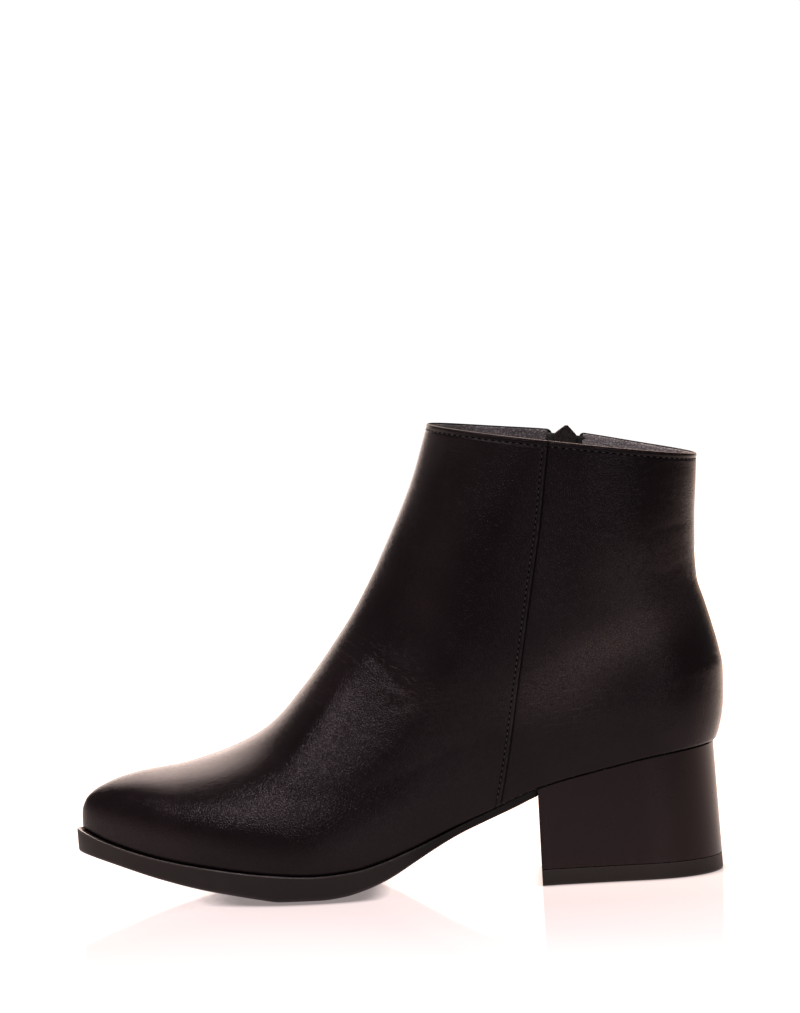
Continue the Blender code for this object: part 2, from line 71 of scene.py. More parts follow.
# Sizes of the boot, in millimetres

GAP = 0.3
SWELL = 1.1
FOOTPRINT_TIP = 257.2
BALL_FORWARD = 172.0
TOE_TAPER = 0.45
SHIN_SLOPE = 2.6

SWELL_RISE = 30.0

# Stations, or rises, between which one form of the upper passes into the next
HEEL_TO_WAIST = (36.0, 95.0)
LEG_TO_FOOT = (45.0, 125.0)
LEG_TO_VAMP = (100.0, 165.0)
FOOT_TO_LEG_RISE = (0.0, 70.0)
SWELL_START = (80.0, 130.0)
SWING_KEPT = (120.0, 190.0)
SWING_FADE_RISE = (10.0, 100.0)

FRONT_LINE = table(
    "forward height",
    (257.2, 28.1), (257.0, 34.5), (255.2, 39.5), (251.5, 43.0), (244.0, 46.6), (232.0, 49.8),
    (214.0, 52.3), (196.0, 57.5), (180.0, 66.0), (167.2, 79.0), (154.4, 95.0), (140.0, 116.6),
    (128.5, 138.2), (118.5, 160.0), (111.0, 182.0),
)
BACK_LINE = table(
    "forward height",
    (4.2, 51.0), (2.6, 55.5), (0.9, 62.5), (0.0, 71.0), (-0.2, 80.0), (0.8, 87.0), (3.1, 96.5), (5.7, 106.2),
    (8.2, 116.0), (8.5, 124.0), (8.0, 140.0), (6.8, 154.0), (5.9, 164.8),
)
FEATHER_LINE = table(
    "forward height",
    (-1.0, 51.2), (4.2, 51.0), (27.0, 48.8), (50.7, 44.3), (74.0, 38.9), (93.0, 31.6), (106.3, 26.2),
    (127.4, 17.4), (138.5, 13.6), (148.7, 11.3), (163.4, 10.3), (183.0, 11.6), (203.0, 14.0), (224.0, 17.4),
    (245.0, 22.9), (262.0, 30.0),
)
FOOTPRINT = table(
    "forward centre half",
    (-1.0, 0.0, 28.2), (36.0, 0.0, 28.2), (60.0, 0.5, 28.0), (90.0, 2.0, 28.0), (110.0, 3.0, 30.0),
    (130.0, 3.2, 34.2), (150.0, 2.6, 38.8), (165.0, 1.6, 40.6), (172.0, 1.0, 40.8), (195.0, -1.4, 40.8),
    (225.0, -4.0, 40.8), (262.0, -5.8, 40.8),
)
GIRTH = table(
    "rise heel_half waist_half front_round back_round back_power",
    (0.0, 28.2, 28.0, 90.0, 31.8, 2.3),
    (10.0, 30.2, 30.0, 88.0, 33.0, 2.3),
    (24.0, 31.4, 32.0, 82.0, 35.0, 2.2),
    (45.0, 31.0, 33.2, 76.0, 37.0, 2.1),
    (70.0, 30.4, 33.8, 70.0, 40.0, 2.0),
    (100.0, 31.2, 33.8, 62.0, 44.0, 2.0),
    (130.0, 32.4, 33.4, 56.0, 47.0, 2.0),
    (160.0, 33.0, 33.2, 54.0, 50.0, 2.0),
)
ARCH = table(
    "forward power ridge_shift",
    (100.0, 2.0, 0.0), (125.0, 2.0, 1.0), (150.0, 2.1, 3.5), (175.0, 2.3, 4.0), (205.0, 2.5, 2.5),
    (235.0, 2.6, 1.0), (262.0, 2.6, 0.0),
)
SOLE = table(
    "forward ledge lip bottom",
    (-1.0, -2.4, 0.0, 48.7),
    (74.0, -2.4, 0.0, 35.2),
    (84.0, -1.6, 0.0, 31.1),
    (95.0, -0.6, 0.0, 26.8),
    (106.0, 0.4, 0.1, 22.6),
    (116.0, 1.0, 0.3, 17.5),
    (124.0, 1.4, 0.5, 12.8),
    (134.0, 1.8, 0.6, 6.9),
    (144.0, 2.0, 0.6, 3.0),
    (153.0, 2.0, 0.6, 0.8),
    (162.0, 2.0, 0.6, 0.0),
    (177.0, 2.0, 0.6, 0.0),
    (186.0, 2.0, 0.6, 1.2),
    (195.0, 2.0, 0.6, 2.7),
    (208.0, 2.0, 0.6, 4.9),
    (224.0, 2.1, 0.6, 8.5),
    (245.0, 2.2, 0.6, 14.3),
    (262.0, 2.3, 0.6, 18.9),
)
SEAM = table(
    "height forward",
    (25.0, 92.2), (51.0, 86.4), (74.0, 82.1), (97.0, 77.8), (121.0, 73.2), (140.0, 69.5), (160.0, 66.4),
    (190.0, 62.0),
)

SEAT_THICKNESS = 2.0
SEAT_END = 75.3
SEAT_STEP = 0.1
EDGE_ROUND = 2.6
TREAD_INSET = 12.0
INSOLE_THICKNESS = 2.5

HEEL_BREAST = 76.2
HEEL_INSET = 0.8
HEEL_FLARE = 1.6
HEEL_RIM = 1.3
HEEL_TAPER = 0.955
TOP_LIFT = 6.3

SEAM_STEP = 0.45
SEAM_FADE = 26.0
UNDERLAP = 0.47
SEAM_GAP = 0.5
SEAM_GAP_DEPTH = 0.15

ZIP_BEHIND_SEAM = 8.0
ZIP_TOP_LIFT = 1.4
ZIP_TOP_REACH = 26.0
ZIP_SLOT_HALF = 5.5
ZIP_BOTTOM_RISE = 29.0
ZIP_FOOT_FADE = 4.0
ZIP_FRAME_REACH = 4.0
CORNER_ROUND = 2.2
CHAIN_TOP = 7.5
TAPE_TOP = 1.2

SLIDER_BELOW_COLLAR = 3.0
SLIDER_PLATE = 1.0
SLIDER_OUTER = 0.8
SLIDER_INNER = 2.2
SLIDER_POST = (3.0, 3.4)
SLIDER_POST_UP = 2.6
SLIDER_POST_SINK = 0.2
SLIDER_POST_BEVEL = 0.1
SLIDER_BEVEL = 0.3
SLIDER_CORNER_SHARE = 0.12
SLIDER_EDGE = 0.1
SLIDER_OUTLINE = table(
    "across up",
    (-3.4, -7.0), (3.4, -7.0), (4.8, -0.5), (4.4, 1.6), (0.0, 5.6), (-4.4, 1.6), (-4.8, -0.5),
)
CROWN_HALF = 1.0
CROWN_LENGTH = 7.4
CROWN_BAR = 0.9
CROWN_CLEAR = 2.5
CROWN_SINK = 0.3
CROWN_STEPS = 25
CROWN_SIDES = 12
CROWN_ARCH_POWER = 0.45
CROWN_BAR_POWER = 0.6
HINGE_UP = -1.4
HINGE_LIFT = 3.1

TAB_BAR = 0.65
TAB_EYE = (1.5, 4.9)
TAB_HALF = 3.0
TAB_LENGTH = 24.0
TAB_THICKNESS = 1.2
TAB_TOP_HALF = 2.5
TAB_NECK = (2.7, -6.0)
TAB_END_CURVE = 6.0
TAB_EDGE = 0.25
TAB_ROUND = 0.08
TAB_EYE_SQUARENESS = 6

# Steps of the fine meshes, in millimetres from an edge
FOOT_STEPS = (0.0, 0.2, 0.5, 0.9, 1.4, 2.0, 2.8)
COLLAR_STEPS = (6.6, 5.4, 4.4, 3.7, 3.1, 2.7, 2.3, 1.95, 1.6, 1.25, 0.95, 0.65, 0.4, 0.2, 0.06, 0.0)
EDGE_STEPS = np.array((
    0.0, 0.06, 0.14, 0.24, 0.4, 0.7, 1.1, 1.4, 1.7, 2.0, 2.3, 2.6, 3.0, 3.8, 5.2, 7.0, 9.0))
BODY_START = 3.8
BODY_END_DROP = 7.8

# How many rings the upper has between its feather line and its collar, and stations along each panel
BODY_RINGS = 116
FRONT_COUNT = 108
BACK_COUNT = 46

# Stitch rows, by their distance from the edge, how worn the edges are, and how strong the painted highlight
# along the collar rim is at the front and at the back
STITCH_STEP = 1.7
COLLAR_STITCH = 1.95
COLLAR_DROP = 2.3
GROOVE_WIDTH = 0.36
TACK_START = 3
TACK_ROWS = (2, 3)
EDGE_WEAR = 0.4
FRONT_RIM_HIGHLIGHT = 0.06
BACK_RIM_HIGHLIGHT = 0.6
# Painted shade darkens and dulls the collar rim ahead of these forward stations
SHADED_RIM = (60.0, 95.0)
BACK_SEAM_REACH = (30.0, 12.0)


# Curves

def smooth_curve(xs, ys):
    """A smooth curve through the points that never overshoots them."""
    order = np.argsort(xs)
    xs, ys = np.asarray(xs, float)[order], np.asarray(ys, float)[order]
    step = np.diff(xs)
    slope = np.diff(ys) / step
    tangent = np.concatenate([slope[:1], slope[1:] * 0, slope[-1:]])
    for i in range(1, len(xs) - 1):
        if slope[i - 1] * slope[i] > 0:
            before, after = 2 * step[i] + step[i - 1], step[i] + 2 * step[i - 1]
            tangent[i] = (before + after) / (before / slope[i - 1] + after / slope[i])

    def at(x):
        x = np.clip(x, xs[0], xs[-1])
        i = np.clip(np.searchsorted(xs, x) - 1, 0, len(step) - 1)
        t = (x - xs[i]) / step[i]
        bend = t * t * (3 - 2 * t)
        leave, arrive = t * (1 - t) ** 2, t * t * (t - 1)
        return ys[i] + (ys[i + 1] - ys[i]) * bend + step[i] * (leave * tangent[i] + arrive * tangent[i + 1])

    return at


def ease(low, high, x):
    """0 below low, 1 above high, and a soft S between them."""
    t = np.clip((x - low) / (high - low), 0, 1)
    return t * t * (3 - 2 * t)


def bump(x, place, width):
    """A soft ridge of height 1 at a place."""
    return np.exp(-(((x - place) / width) ** 2))


def edge_roll(gap, radius):
    """How far a rounded edge falls away at this distance from it."""
    inside = np.clip(radius - gap, 0, radius)
    return radius - np.sqrt(radius**2 - inside**2)


feather = smooth_curve(FEATHER_LINE["forward"], FEATHER_LINE["height"])
front_rise_rows = FRONT_LINE["height"] - feather(FRONT_LINE["forward"])
back_rise_rows = BACK_LINE["height"] - feather(BACK_LINE["forward"])
front_rise_rows[0] = back_rise_rows[0] = 0.0
front_at = smooth_curve(front_rise_rows, FRONT_LINE["forward"])
back_at = smooth_curve(back_rise_rows, BACK_LINE["forward"])
footprint_centre = smooth_curve(FOOTPRINT["forward"], FOOTPRINT["centre"])
footprint_half = smooth_curve(FOOTPRINT["forward"], FOOTPRINT["half"])
arch_power = smooth_curve(ARCH["forward"], ARCH["power"])
ridge_shift = smooth_curve(ARCH["forward"], ARCH["ridge_shift"])
seam_forward = smooth_curve(SEAM["height"], SEAM["forward"])
girth = {name: smooth_curve(GIRTH["rise"], GIRTH[name]) for name in GIRTH if name != "rise"}
sole_size = {name: smooth_curve(SOLE["forward"], SOLE[name]) for name in SOLE if name != "forward"}

COLLAR_RISE = front_rise_rows[-1]
BACK_RISE = back_rise_rows[-1]
RIDGE_STEPS = 600
RIDGE_RISES = np.linspace(0, COLLAR_RISE, RIDGE_STEPS)
RIDGE_FORWARDS = front_at(RIDGE_RISES)
COLLAR_KEEP = 6.3
COLLAR_REACH = 12.0

# Shares of the collar's rise over which the rings straighten out and lift to the top of the zip
STRAIGHT_SHARE = (0.4, 1.0)
ZIP_LIFT_SHARE = (0.6, 1.0)

CROSSING_START = 80.0
CROSSING_ROUNDS = 20


def zip_forward(height):
    return seam_forward(height) - ZIP_BEHIND_SEAM


# The skin of the upper

def ridge_rise(forward):
    """Rise of the vamp's ridge, carried on up the shin line past the collar."""
    on_ridge = np.interp(forward, RIDGE_FORWARDS[::-1], RIDGE_RISES[::-1])
    return on_ridge + SHIN_SLOPE * np.maximum(RIDGE_FORWARDS[-1] - forward, 0)


def almond(forward):
    """Share of the ball's width that the toe keeps, down to nothing at the tip."""
    run = np.clip((forward - BALL_FORWARD) / (FOOTPRINT_TIP - BALL_FORWARD), 0, 1)
    return np.sqrt(1 - run**2) * (1 - TOE_TAPER * run**2)


def half_width(forward, rise):
    """Half the width of the upper here: the rounds of the leg behind, the arch of the foot ahead."""
    foot = footprint_half(forward) * almond(forward)
    heel_to_waist = ease(*HEEL_TO_WAIST, forward)
    leg = girth["heel_half"](rise) * (1 - heel_to_waist) + girth["waist_half"](rise) * heel_to_waist
    as_leg = 1 - (1 - ease(*FOOT_TO_LEG_RISE, rise)) * ease(*LEG_TO_FOOT, forward)
    hull = foot + (leg - foot) * as_leg
    swell = SWELL * np.sin(np.pi * np.clip(rise / SWELL_RISE, 0, 1)) * ease(*SWELL_START, forward)
    front = np.clip(1 - (front_at(rise) - forward) / girth["front_round"](rise), 0, 1)
    back = np.clip(1 - (forward - back_at(rise)) / girth["back_round"](rise), 0, 1)
    round_leg = (hull + swell) * np.sqrt(1 - front**2) * np.sqrt(1 - back ** girth["back_power"](rise))
    share = np.clip(rise / np.maximum(ridge_rise(forward), 0.01), 0, 1)
    arched_foot = (foot + swell * almond(forward)) * np.sqrt(1 - share ** arch_power(forward))
    ahead = ease(*LEG_TO_VAMP, forward)
    return round_leg * (1 - ahead) + arched_foot * ahead


def middle(forward, rise):
    """Middle of the upper across: it swings with the foot below and leans with the ridge above."""
    share = np.clip(rise / np.maximum(ridge_rise(forward), 0.01), 0, 1)
    lost = ease(*SWING_FADE_RISE, rise) * (1 - ease(*SWING_KEPT, forward))
    return footprint_centre(forward) * (1 - lost) - ridge_shift(forward) * share**2


def skin_across(forward, height, side):
    """Across position of the skin on the outer (1) or inner (-1) side of the foot."""
    rise = np.maximum(height - feather(forward), 0)
    return middle(forward, rise) + side * half_width(forward, rise)


class Ring:
    """One level of the upper, from the back line to the front line; the top levels run with the collar."""

    def __init__(self, front_rise):
        self.front_rise = min(front_rise, COLLAR_RISE)
        drop = COLLAR_RISE - self.front_rise
        keep = COLLAR_KEEP * (1 - math.exp(-drop / COLLAR_REACH))
        self.back_rise = max(BACK_RISE - drop * (BACK_RISE - COLLAR_KEEP) / COLLAR_RISE - keep, 0.0)
        self.front = float(front_at(self.front_rise))
        self.back = float(back_at(self.back_rise))
        self.straight = ease(*STRAIGHT_SHARE, self.front_rise / COLLAR_RISE)

    def height(self, forward):
        along = (forward - self.back) / (self.front - self.back)
        low = feather(self.back) + self.back_rise
        high = feather(self.front) + self.front_rise
        follow = feather(forward) + self.back_rise + (self.front_rise - self.back_rise) * along
        return follow * (1 - self.straight) + (low + (high - low) * along) * self.straight

    def crossing(self, line):
        """Where this ring meets a line that gives forward for a height."""
        forward = CROSSING_START
        for _ in range(CROSSING_ROUNDS):
            forward = float(line(self.height(forward)))
        return forward

    def lift(self, forwards):
        """The collar rises a little to the top of the zip."""
        towards_zip = (forwards - zip_forward(self.height(forwards))) / ZIP_TOP_REACH
        return ZIP_TOP_LIFT * ease(*ZIP_LIFT_SHARE, self.front_rise / COLLAR_RISE) * np.exp(-towards_zip**2)

    def points(self, forwards, side):
        heights = self.height(forwards)
        if side < 0:
            heights = heights + self.lift(forwards)
        return np.stack([forwards, skin_across(forwards, heights, side), heights], axis=1)


COLLAR = Ring(COLLAR_RISE)


def spread_from(start, end, count):
    """Stations that are close together at the start."""
    return start + (end - start) * (1 - np.cos(np.linspace(0, np.pi / 2, count + 1)))


class Sheet:
    """A sheet of the upper as a grid of points: rows go up, columns go clockwise seen from above."""

    def __init__(self, levels, columns):
        rows, level_rows = [], []
        for level in levels:
            ring = Ring(level)
            runs = columns(ring)
            rows.append(np.concatenate([ring.points(forwards, side) for forwards, side in runs]))
            level_rows.append(np.concatenate([ring.height(forwards) for forwards, side in runs]))
        self.levels = np.asarray(levels)
        self.points = np.array(rows)
        self.side = np.concatenate([np.full(len(forwards), side) for forwards, side in runs])[None, :]
        forward, height = self.points[..., 0], self.points[..., 2]
        level_height = np.array(level_rows)
        self.rise = np.maximum(height - feather(forward), 0)
        rim = COLLAR.height(forward) + np.where(self.side < 0, COLLAR.lift(forward), 0)
        self.below_collar = np.maximum(rim - height, 0)
        self.from_seam = np.where(self.side > 0, forward - seam_forward(level_height), FAR)
        self.from_zip = np.where(self.side < 0, forward - zip_forward(level_height), FAR)

    def normals(self):
        """Unit directions square to the sheet."""
        up = np.gradient(self.points, axis=0)
        on = np.gradient(self.points, axis=1)
        out = np.cross(up, on)
        return out / np.maximum(np.linalg.norm(out, axis=2), 1e-9)[..., None]

    def move_out(self, distance):
        self.points = self.points + self.normals() * distance[..., None]

    def faces(self, keep=None):
        rows, columns = self.points.shape[:2]
        return [
            (r * columns + c, (r + 1) * columns + c, (r + 1) * columns + c + 1, r * columns + c + 1)
            for r in range(rows - 1)
            for c in range(columns - 1)
            if keep is None or keep(r, c)
        ]


def ring_levels():
    """Levels of the upper's rings: close at the feather line and at the collar."""
    body = np.linspace(BODY_START, COLLAR_RISE - BODY_END_DROP, BODY_RINGS)
    return np.concatenate([FOOT_STEPS, body, COLLAR_RISE - np.array(COLLAR_STEPS)])


# Creases that walking has left: a line from one point to another, with its depth and width
CREASES = table(
    "side forward height to_forward to_height depth width",
    (1, 42, 116.5, 10, 123, 0.22, 2.0),
    (1, 28, 134, 9, 139, 0.18, 2.0),
    (1, 56, 137, 36, 137, 0.08, 1.6),
    (1, 26, 160, 8, 162, 0.12, 3.0),
    (1, 144, 96, 116, 78, 0.22, 2.0),
    (1, 138, 86, 116, 75, 0.20, 1.8),
    (1, 154, 74, 144, 62, 0.18, 1.8),
    (1, 136, 71, 108, 78, 0.20, 2.0),
    (1, 168, 66, 146, 48, 0.16, 4.0),
    (-1, 44, 115, 10, 123, 0.22, 2.2),
    (-1, 32, 130, 10, 136, 0.18, 2.2),
    (-1, 144, 94, 116, 76, 0.22, 2.2),
    (-1, 138, 72, 110, 77, 0.20, 2.2),
    (-1, 164, 68, 144, 46, 0.18, 4.0),
)

CREASE_SWAY = 0.9
CREASE_SWAY_LENGTH = 5.0
CREASE_END = 2.0
HAND_WAVE = 0.10

# Fine broken lines in the leather: the sets they come in, with the painted sheen that lightens each set's
# patches, then the middle, reach and strength of each patch
FLEX_SETS = table(
    "slope lines_per_metre wander paling",
    (-0.12, 400, 0.0016, 0.30), (0.60, 420, 0.0030, 0.06), (-0.45, 900, 0.0020, 1.00),
)
FLEX_PATCHES = table(
    "side set forward height long tall strength",
    (1, 0, 64, 73, 16, 9, 1.0),
    (1, 2, 44, 93, 36, 10, 1.0),
    (1, 2, 26, 124, 24, 13, 0.5),
    (1, 1, 132, 86, 22, 10, 0.8),
    (1, 1, 146, 66, 18, 12, 0.6),
    (1, 0, 124, 76, 16, 7, 0.6),
    (-1, 0, 62, 74, 18, 10, 0.9),
    (-1, 2, 30, 118, 26, 16, 0.7),
    (-1, 1, 134, 80, 24, 14, 0.7),
)


def table_rows(columns):
    names = list(columns)
    return [dict(zip(names, row)) for row in zip(*columns.values())]


def turned(ahead, above, way):
    """Distances along and aside of a direction that is given by its shares ahead and up."""
    return ahead * way[0] + above * way[1], above * way[0] - ahead * way[1]


def crease_depth(sheet):
    """How deep the walking creases are at each point of a sheet."""
    forward, height = sheet.points[..., 0], sheet.points[..., 2]
    depth = np.zeros(forward.shape)
    for crease in table_rows(CREASES):
        run = np.array([crease["to_forward"] - crease["forward"], crease["to_height"] - crease["height"]])
        length = np.linalg.norm(run)
        along, aside = turned(forward - crease["forward"], height - crease["height"], run / length)
        aside = aside + CREASE_SWAY * np.sin(along / CREASE_SWAY_LENGTH)
        start, end = ease(-CREASE_END, length * 0.4, along), ease(length * 0.6, length + CREASE_END, along)
        ridge = start * (1 - end) * bump(aside, 0, crease["width"])
        depth += crease["depth"] * ridge * (sheet.side == crease["side"])
    return depth


def flex_mask(sheet, line_set):
    """How strongly the leather shows one set of fine broken lines, and its painted sheen, at each point of a
    sheet.
    """
    forward, height = sheet.points[..., 0], sheet.points[..., 2]
    slope = FLEX_SETS["slope"][line_set]
    way = (math.cos(slope), math.sin(slope))
    mask = np.zeros(forward.shape)
    for patch in table_rows(FLEX_PATCHES):
        if patch["set"] == line_set:
            along, aside = turned(forward - patch["forward"], height - patch["height"], way)
            reach = bump(along, 0, patch["long"]) * bump(aside, 0, patch["tall"])
            mask += patch["strength"] * reach * (sheet.side == patch["side"])
    return np.clip(mask, 0, 1)


def hand_waves(sheet):
    """The slight unevenness of leather drawn over a last, in two slow waves that cross."""
    forward, height = sheet.points[..., 0], sheet.points[..., 2]
    rising, falling = forward / 9.0 + height / 13.0, height / 17.0 - forward / 29.0 + sheet.side
    return HAND_WAVE * np.sin(rising) * np.sin(falling)


# Mesh helpers

SHARP_ANGLE = 40.0


def to_frame(points):
    """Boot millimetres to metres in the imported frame."""
    return (np.asarray(points, float) - (MIDDLE_FORWARD, MIDDLE_ACROSS, 0.0)) * MM


def mesh_from(name, points, faces, outwards=True):
    """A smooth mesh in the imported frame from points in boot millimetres."""
    mesh = bpy.data.meshes.new(name)
    mesh.from_pydata(to_frame(points).tolist(), [], faces)
    if outwards:
        work = bmesh.new()
        work.from_mesh(mesh)
        bmesh.ops.recalc_face_normals(work, faces=work.faces)
        work.to_mesh(mesh)
        work.free()
    mesh.shade_smooth()
    return mesh


def add_piece(name, mesh, material, replaced=(), body="boot"):
    """Puts a finished mesh into the scene, on its body, in place of the CAD nodes it stands for."""
    piece = bpy.data.objects.new(name, mesh)
    bpy.context.scene.collection.objects.link(piece)
    mesh.materials.append(material)
    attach(piece, body)
    if replaced:
        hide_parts(*replaced)
    return piece


def store_mask(mesh, name, values):
    """A value at each point for the material to read."""
    mesh.attributes.new(name, "FLOAT", "POINT").data.foreach_set("value", np.ravel(values).astype(np.float32))


def thicken(piece, millimetres):
    wall = piece.modifiers.new("thickness", "SOLIDIFY")
    wall.thickness = millimetres * MM
    wall.offset = -1.0


def soften_edges(piece, millimetres):
    rounding = piece.modifiers.new("soft_edges", "BEVEL")
    rounding.width = millimetres * MM
    rounding.segments = 3
    rounding.limit_method = "ANGLE"
    rounding.angle_limit = math.radians(SHARP_ANGLE)
    shading = piece.modifiers.new("even_shading", "WEIGHTED_NORMAL")
    shading.keep_sharp = False


def band(lower, upper, count):
    """Quads between two closed loops of points that start at these indices."""
    return [
        (lower + i, lower + (i + 1) % count, upper + (i + 1) % count, upper + i)
        for i in range(count)
    ]


def walls(loops):
    """Quads between each loop and the next, for loops whose points follow one another."""
    count = len(loops[0])
    return [face for i in range(len(loops) - 1) for face in band(i * count, (i + 1) * count, count)]


def rungs(start, count, has_tip):
    """Faces across a loop, from its outer half to its inner half, like the rungs of a ladder."""
    def mate(i):
        return (count - i) % count

    last = count // 2 if has_tip else (count - 1) // 2
    faces = []
    for i in range(last):
        loop = [i, i + 1, mate(i + 1), mate(i)]
        faces.append(tuple(start + k for k in dict.fromkeys(loop)))
    return faces


def slab(loops, has_tip=True):
    """Points and faces of a closed piece: its loops go from the top face round the edge to the bottom."""
    count = len(loops[0])
    ends = rungs(0, count, has_tip) + rungs(count * (len(loops) - 1), count, has_tip)
    return np.concatenate(loops), ends + walls(loops)


def strip(sections):
    """Points and faces of a bar through equal sections, closed at both ends."""
    count = len(sections[0])
    ends = [tuple(range(count)), tuple(range(count * (len(sections) - 1), count * len(sections)))]
    return np.concatenate(sections), ends + walls(sections)


def joined(shells):
    """Several closed shells as the points and faces of one mesh."""
    points, faces, start = [], [], 0
    for shell_points, shell_faces in shells:
        points.append(shell_points)
        faces += [tuple(start + k for k in face) for face in shell_faces]
        start += len(shell_points)
    return np.concatenate(points), faces


def outline_loop(forwards, has_tip):
    """The footprint as a loop: back point, outer side, toe point if it has one, inner side back again."""
    half = footprint_half(forwards) * almond(forwards)
    back = np.clip(1 - (forwards - back_at(0.0)) / girth["back_round"](0.0), 0, 1)
    half = half * np.sqrt(1 - back ** girth["back_power"](0.0))
    centre = footprint_centre(forwards)
    outer = np.stack([forwards, centre + half], axis=1)
    inner = np.stack([forwards, centre - half], axis=1)
    last = -1 if has_tip else None
    return np.concatenate([outer, inner[1:last][::-1]])


def grown(loop, distances):
    """The loop moved outwards by a distance at each point."""
    along = np.roll(loop, -1, axis=0) - np.roll(loop, 1, axis=0)
    along /= np.linalg.norm(along, axis=1)[:, None]
    outwards = np.stack([-along[:, 1], along[:, 0]], axis=1)
    return loop + outwards * np.broadcast_to(distances, len(loop))[:, None]


def at_height(loop, heights):
    return np.column_stack([loop, np.broadcast_to(heights, len(loop))])


def whole_footprint(count):
    """The whole footprint, with close stations at the heel, at the toe and where the seat ends."""
    turn = np.linspace(0, np.pi, count + 1)
    back = float(back_at(0.0))
    stations = back + (FOOTPRINT_TIP - back) * (1 - np.cos(turn)) / 2
    return outline_loop(np.sort(np.append(stations, (SEAT_END - SEAT_STEP, SEAT_END + SEAT_STEP))), True)


def unit(vectors):
    return vectors / np.maximum(np.linalg.norm(vectors, axis=-1, keepdims=True), 1e-9)


# A short thread: place along its length, share of its radius, and how high it arches, from end to end
THREAD = table(
    "along radius arch",
    (-1.0, 0.45, -0.9), (-0.86, 0.9, -0.35), (-0.5, 1.0, 0.15), (0.0, 1.0, 0.3), (0.5, 1.0, 0.15),
    (0.86, 0.9, -0.35), (1.0, 0.45, -0.9),
)
THREAD_SIDES = 7
THREAD_ROUGHNESS = 0.36
# Dark bars of painted shade laid where each needle hole lies between the stitches
HOLE_LENGTH = 0.9
HOLE_RADIUS = 0.24
HOLE_ARCH = 0.2
STITCH_AIM = 0.4


def threads(centres, along, out, length, radius, arch=1.0):
    """Short rounded bars at these places, lying along one direction and arched out in another."""
    along, out = unit(along), unit(out)
    aside = unit(np.cross(out, along))
    turn = np.linspace(0, 2 * np.pi, THREAD_SIDES, endpoint=False)
    shells = []
    for centre, ahead, up, cross in zip(centres, along, out, aside):
        sections = [
            centre
            + ahead * step["along"] * length / 2
            + up * (step["arch"] * arch * radius + step["radius"] * radius * np.sin(turn)[:, None])
            + cross * step["radius"] * radius * np.cos(turn)[:, None]
            for step in table_rows(THREAD)
        ]
        shells.append(strip(sections))
    return shells


def stitch_row(path, out, pitch, stitching):
    """Stitches one after another along a path, and dark bars of painted shade where each needle hole lies
    between them.
    """
    steps = np.linalg.norm(np.diff(path, axis=0), axis=1)
    run = np.concatenate([[0.0], np.cumsum(steps)])
    count = max(int(run[-1] / pitch), 1)

    def sample(values, at):
        return np.stack([np.interp(at, run, values[:, k]) for k in range(3)], axis=1)

    def bars(places, length, radius, arch):
        along = sample(path, places + STITCH_AIM) - sample(path, places - STITCH_AIM)
        return threads(sample(path, places), along, sample(out, places), length, radius, arch)

    length, radius = stitching.length / MM, stitching.thread / MM / 2
    stitches = bars((np.arange(count) + 0.5) * run[-1] / count, length, radius, 1.0)
    hole_shades = bars(np.arange(1, count) * run[-1] / count, HOLE_LENGTH, HOLE_RADIUS, HOLE_ARCH)
    return stitches, hole_shades


# Materials

class NodeWriter:
    """Adds nodes to one tree. An input is given as a plain value or as another node's output."""

    def __init__(self, tree):
        self.tree = tree

    def add(self, kind, inputs=None, **settings):
        node = self.tree.nodes.new(kind)
        for name, value in settings.items():
            setattr(node, name, value)
        for key, value in (inputs or {}).items():
            if isinstance(value, bpy.types.NodeSocket):
                self.tree.links.new(value, node.inputs[key])
            else:
                node.inputs[key].default_value = value
        return node

    def math(self, operation, first, second=0.0):
        return self.add("ShaderNodeMath", {0: first, 1: second}, operation=operation).outputs[0]

    def mix(self, share, first, second):
        return self.add("ShaderNodeMix", {0: share, 6: first, 7: second}, data_type="RGBA").outputs[2]

    def fit(self, value, low, high, to_low=0.0, to_high=1.0):
        inputs = {"Value": value, "From Min": low, "From Max": high, "To Min": to_low, "To Max": to_high}
        return self.add("ShaderNodeMapRange", inputs).outputs["Result"]

    def noise(self, vector, scale, detail=2.0):
        inputs = {"Vector": vector, "Scale": scale, "Detail": detail}
        return self.add("ShaderNodeTexNoise", inputs).outputs["Fac"]

    def cell_edges(self, vector, scale):
        inputs = {"Vector": vector, "Scale": scale}
        return self.add("ShaderNodeTexVoronoi", inputs, feature="DISTANCE_TO_EDGE").outputs["Distance"]

    def mask(self, name):
        return self.add("ShaderNodeAttribute", attribute_name=name).outputs["Fac"]

    def place(self):
        return self.add("ShaderNodeTexCoord").outputs["Object"]


def new_group(name, inputs, outputs):
    """An empty node group with named number and vector sockets, and its writer, input and output nodes."""
    tree = bpy.data.node_groups.new(name, "ShaderNodeTree")
    for label, kind, value in inputs:
        socket = tree.interface.new_socket(label, in_out="INPUT", socket_type=kind)
        if value is not None:
            socket.default_value = value
    for label in outputs:
        tree.interface.new_socket(label, in_out="OUTPUT", socket_type="NodeSocketFloat")
    writer = NodeWriter(tree)
    return writer, writer.add("NodeGroupInput").outputs, writer.add("NodeGroupOutput").inputs


